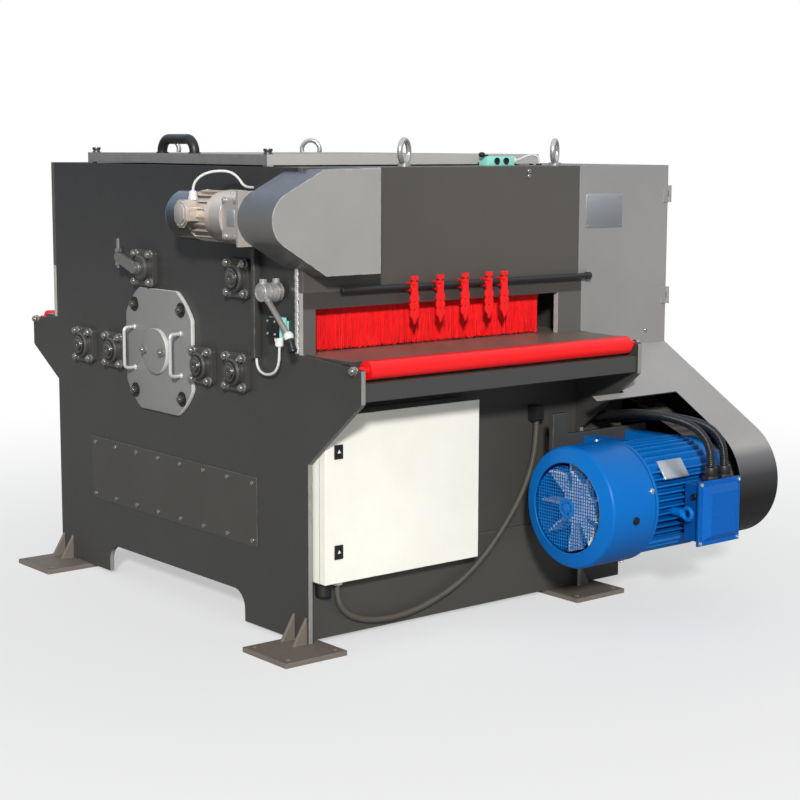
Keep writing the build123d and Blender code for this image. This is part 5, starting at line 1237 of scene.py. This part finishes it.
def hose(name, spots, radius, ribs, sides):
    """A corrugated hose along a line, each rib a crest between two valleys, as a mesh of its own."""
    reach = [0]
    for before, here in zip(spots, spots[1:]):
        reach.append(reach[-1] + (here - before).length)
    cage = bmesh.new()
    rows = []
    side = Vector((1, 0, 0)) if abs((spots[1] - spots[0]).normalized().x) < 0.9 else Vector((0, 1, 0))
    here = 0
    steps = len(rib_profile) * ribs
    turns = [2 * math.pi * number / sides for number in range(sides)]
    for step in range(steps + 1):
        along = reach[-1] * step / steps
        while here < len(spots) - 2 and reach[here + 1] < along:
            here += 1
        run = spots[here + 1] - spots[here]
        middle = spots[here] + run * (along - reach[here]) / max(run.length, 1e-9)
        run.normalize()
        side = (side - run * side.dot(run)).normalized()
        other = run.cross(side)
        wide = radius / 1000 * rib_profile[step % len(rib_profile)]
        ring = [middle + wide * (side * math.cos(turn) + other * math.sin(turn)) for turn in turns]
        rows.append([cage.verts.new(spot) for spot in ring])
    for row, following in zip(rows, rows[1:]):
        for k in range(sides):
            cage.faces.new((row[k], row[(k + 1) % sides], following[(k + 1) % sides], following[k]))
    cage.faces.new(rows[0][::-1])
    cage.faces.new(rows[-1])
    bmesh.ops.recalc_face_normals(cage, faces=cage.faces)
    mesh = bpy.data.meshes.new(name)
    cage.to_mesh(mesh)
    cage.free()
    for face in mesh.polygons:
        face.use_smooth = True
    piece = bpy.data.objects.new(name, mesh)
    scene.collection.objects.link(piece)
    return piece


def lay_cord(piece, node, route, radius, length, finish, slot, stiffness, **path):
    """Puts a cord in place of its CAD solid, with its finish, on the frame's body."""
    piece.data.materials.append(finish)
    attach(piece, "frame")
    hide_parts(node)


for node, radius, length, ribs, sides, finish, route in conduits:
    guide = route_curve(node + "_guide", route)
    spots = [vertex.co.copy() for vertex in bpy.data.meshes.new_from_object(guide).vertices]
    bpy.data.objects.remove(guide)
    conduit = hose(node + "_hose", spots, radius, ribs, sides)
    path = [list(spot) for spot in spots]
    lay_cord(conduit, node, route, radius, length, finish, "black_conduit", "stiff", path=path)
for node, length, route in cables:
    cable = route_curve(node + "_line", route)
    thick_line(cable.data, cable_radius, 4)
    lay_cord(cable, node, route, cable_radius, length, cable_white, "cable_rubber", "medium")


# Brush curtain: some nine hundred red nylon strands in three rows, crimped in a steel strip behind the
# lintel. Each strand tapers, leans a little with its neighbours, and ends near the table.
strip_low = (48, 42.2, 1010)
strip_high = (984, 81, 1028)
strand_rows = (71.0, 73.8, 76.6)
strands_in_row = 300
brush_left = 49.0
brush_right = 983.0
strand_top = 1012
strand_tip = 882
strand_wide = 1.45
strand_red = (252, 12, 18)
brush_strip = step_faces(slab(strip_low, strip_high), (0, 0, -1), (5, 0), (0, -4))
fit(soften(brush_strip, 1.5, 3), "brush_strip", arm_steel)
bristle_red, tree, shader = new_finish("bristle_red")
strand_tone = add_node(tree, "ShaderNodeAttribute", out="Fac", attribute_name="strand_tone")
dust = stretch(tree, noise(tree, own(tree), 60), 0.3, 0.7, 0.8, 1.15)
wire(shader, {
    "Base Color": clouded(tree, reckon(tree, "MULTIPLY", strand_tone, dust), strand_red, 0.45, 1.12),
    "Roughness": stretch(tree, noise(tree, own(tree), 200), 0.3, 0.7, 0.3, 0.5),
    "Specular IOR Level": 0.2,
})
bpy.ops.mesh.primitive_cone_add(
    vertices=5, radius1=strand_wide / 1000, radius2=0.6 * strand_wide / 1000, depth=1, location=(0, 0, -0.5),
    rotation=(math.pi, 0, 0),
)
strand = as_stock()
bpy.ops.object.mode_set(mode="EDIT")
for height in (-0.35, -0.7):
    bpy.ops.mesh.select_all(action="SELECT")
    bpy.ops.mesh.bisect(plane_co=(0, 0, height), plane_no=(0, 0, 1))
bpy.ops.object.mode_set(mode="OBJECT")
strand_spots = [vertex.co.copy() for vertex in strand.data.vertices]
strand_faces = [tuple(face.vertices) for face in strand.data.polygons]
bpy.data.objects.remove(strand)
random.seed(4)
brush_spots, brush_faces, brush_tones = [], [], []
for row, row_y in enumerate(strand_rows):
    for number in range(strands_in_row):
        share = (number + 0.5 + 0.32 * (row - 1)) / strands_in_row
        x = brush_left + (brush_right - brush_left) * share + random.uniform(-0.5, 0.5)
        lean = 2.6 * math.sin(x / 17.0 + row) + 1.8 * math.sin(x / 6.1 + 2 * row) + random.uniform(-1.2, 1.2)
        sway = random.uniform(-1.6, 1.2)
        long = strand_top - strand_tip + 2.5 * math.sin(x / 9.0 + 3 * row) + random.uniform(-3.0, 1.6)
        brush_tones += [random.uniform(0.55, 1.0)] * len(strand_spots)
        base = len(brush_spots)
        brush_faces += [tuple(base + index for index in face) for face in strand_faces]
        for spot in strand_spots:
            bend = spot.z * spot.z
            middle = at(x + lean * bend, row_y + sway * bend, strand_top + spot.z * long)
            brush_spots.append(middle + Vector((spot.x, spot.y, 0)))
brush_mesh = bpy.data.meshes.new("brush_strands")
brush_mesh.from_pydata(brush_spots, [], brush_faces)
brush_mesh.attributes.new("strand_tone", "FLOAT", "POINT").data.foreach_set("value", brush_tones)
brush_mesh.materials.append(bristle_red)
brush = bpy.data.objects.new("brush_strands", brush_mesh)
scene.collection.objects.link(brush)
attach(brush, "frame")
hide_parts("infeed_brush")
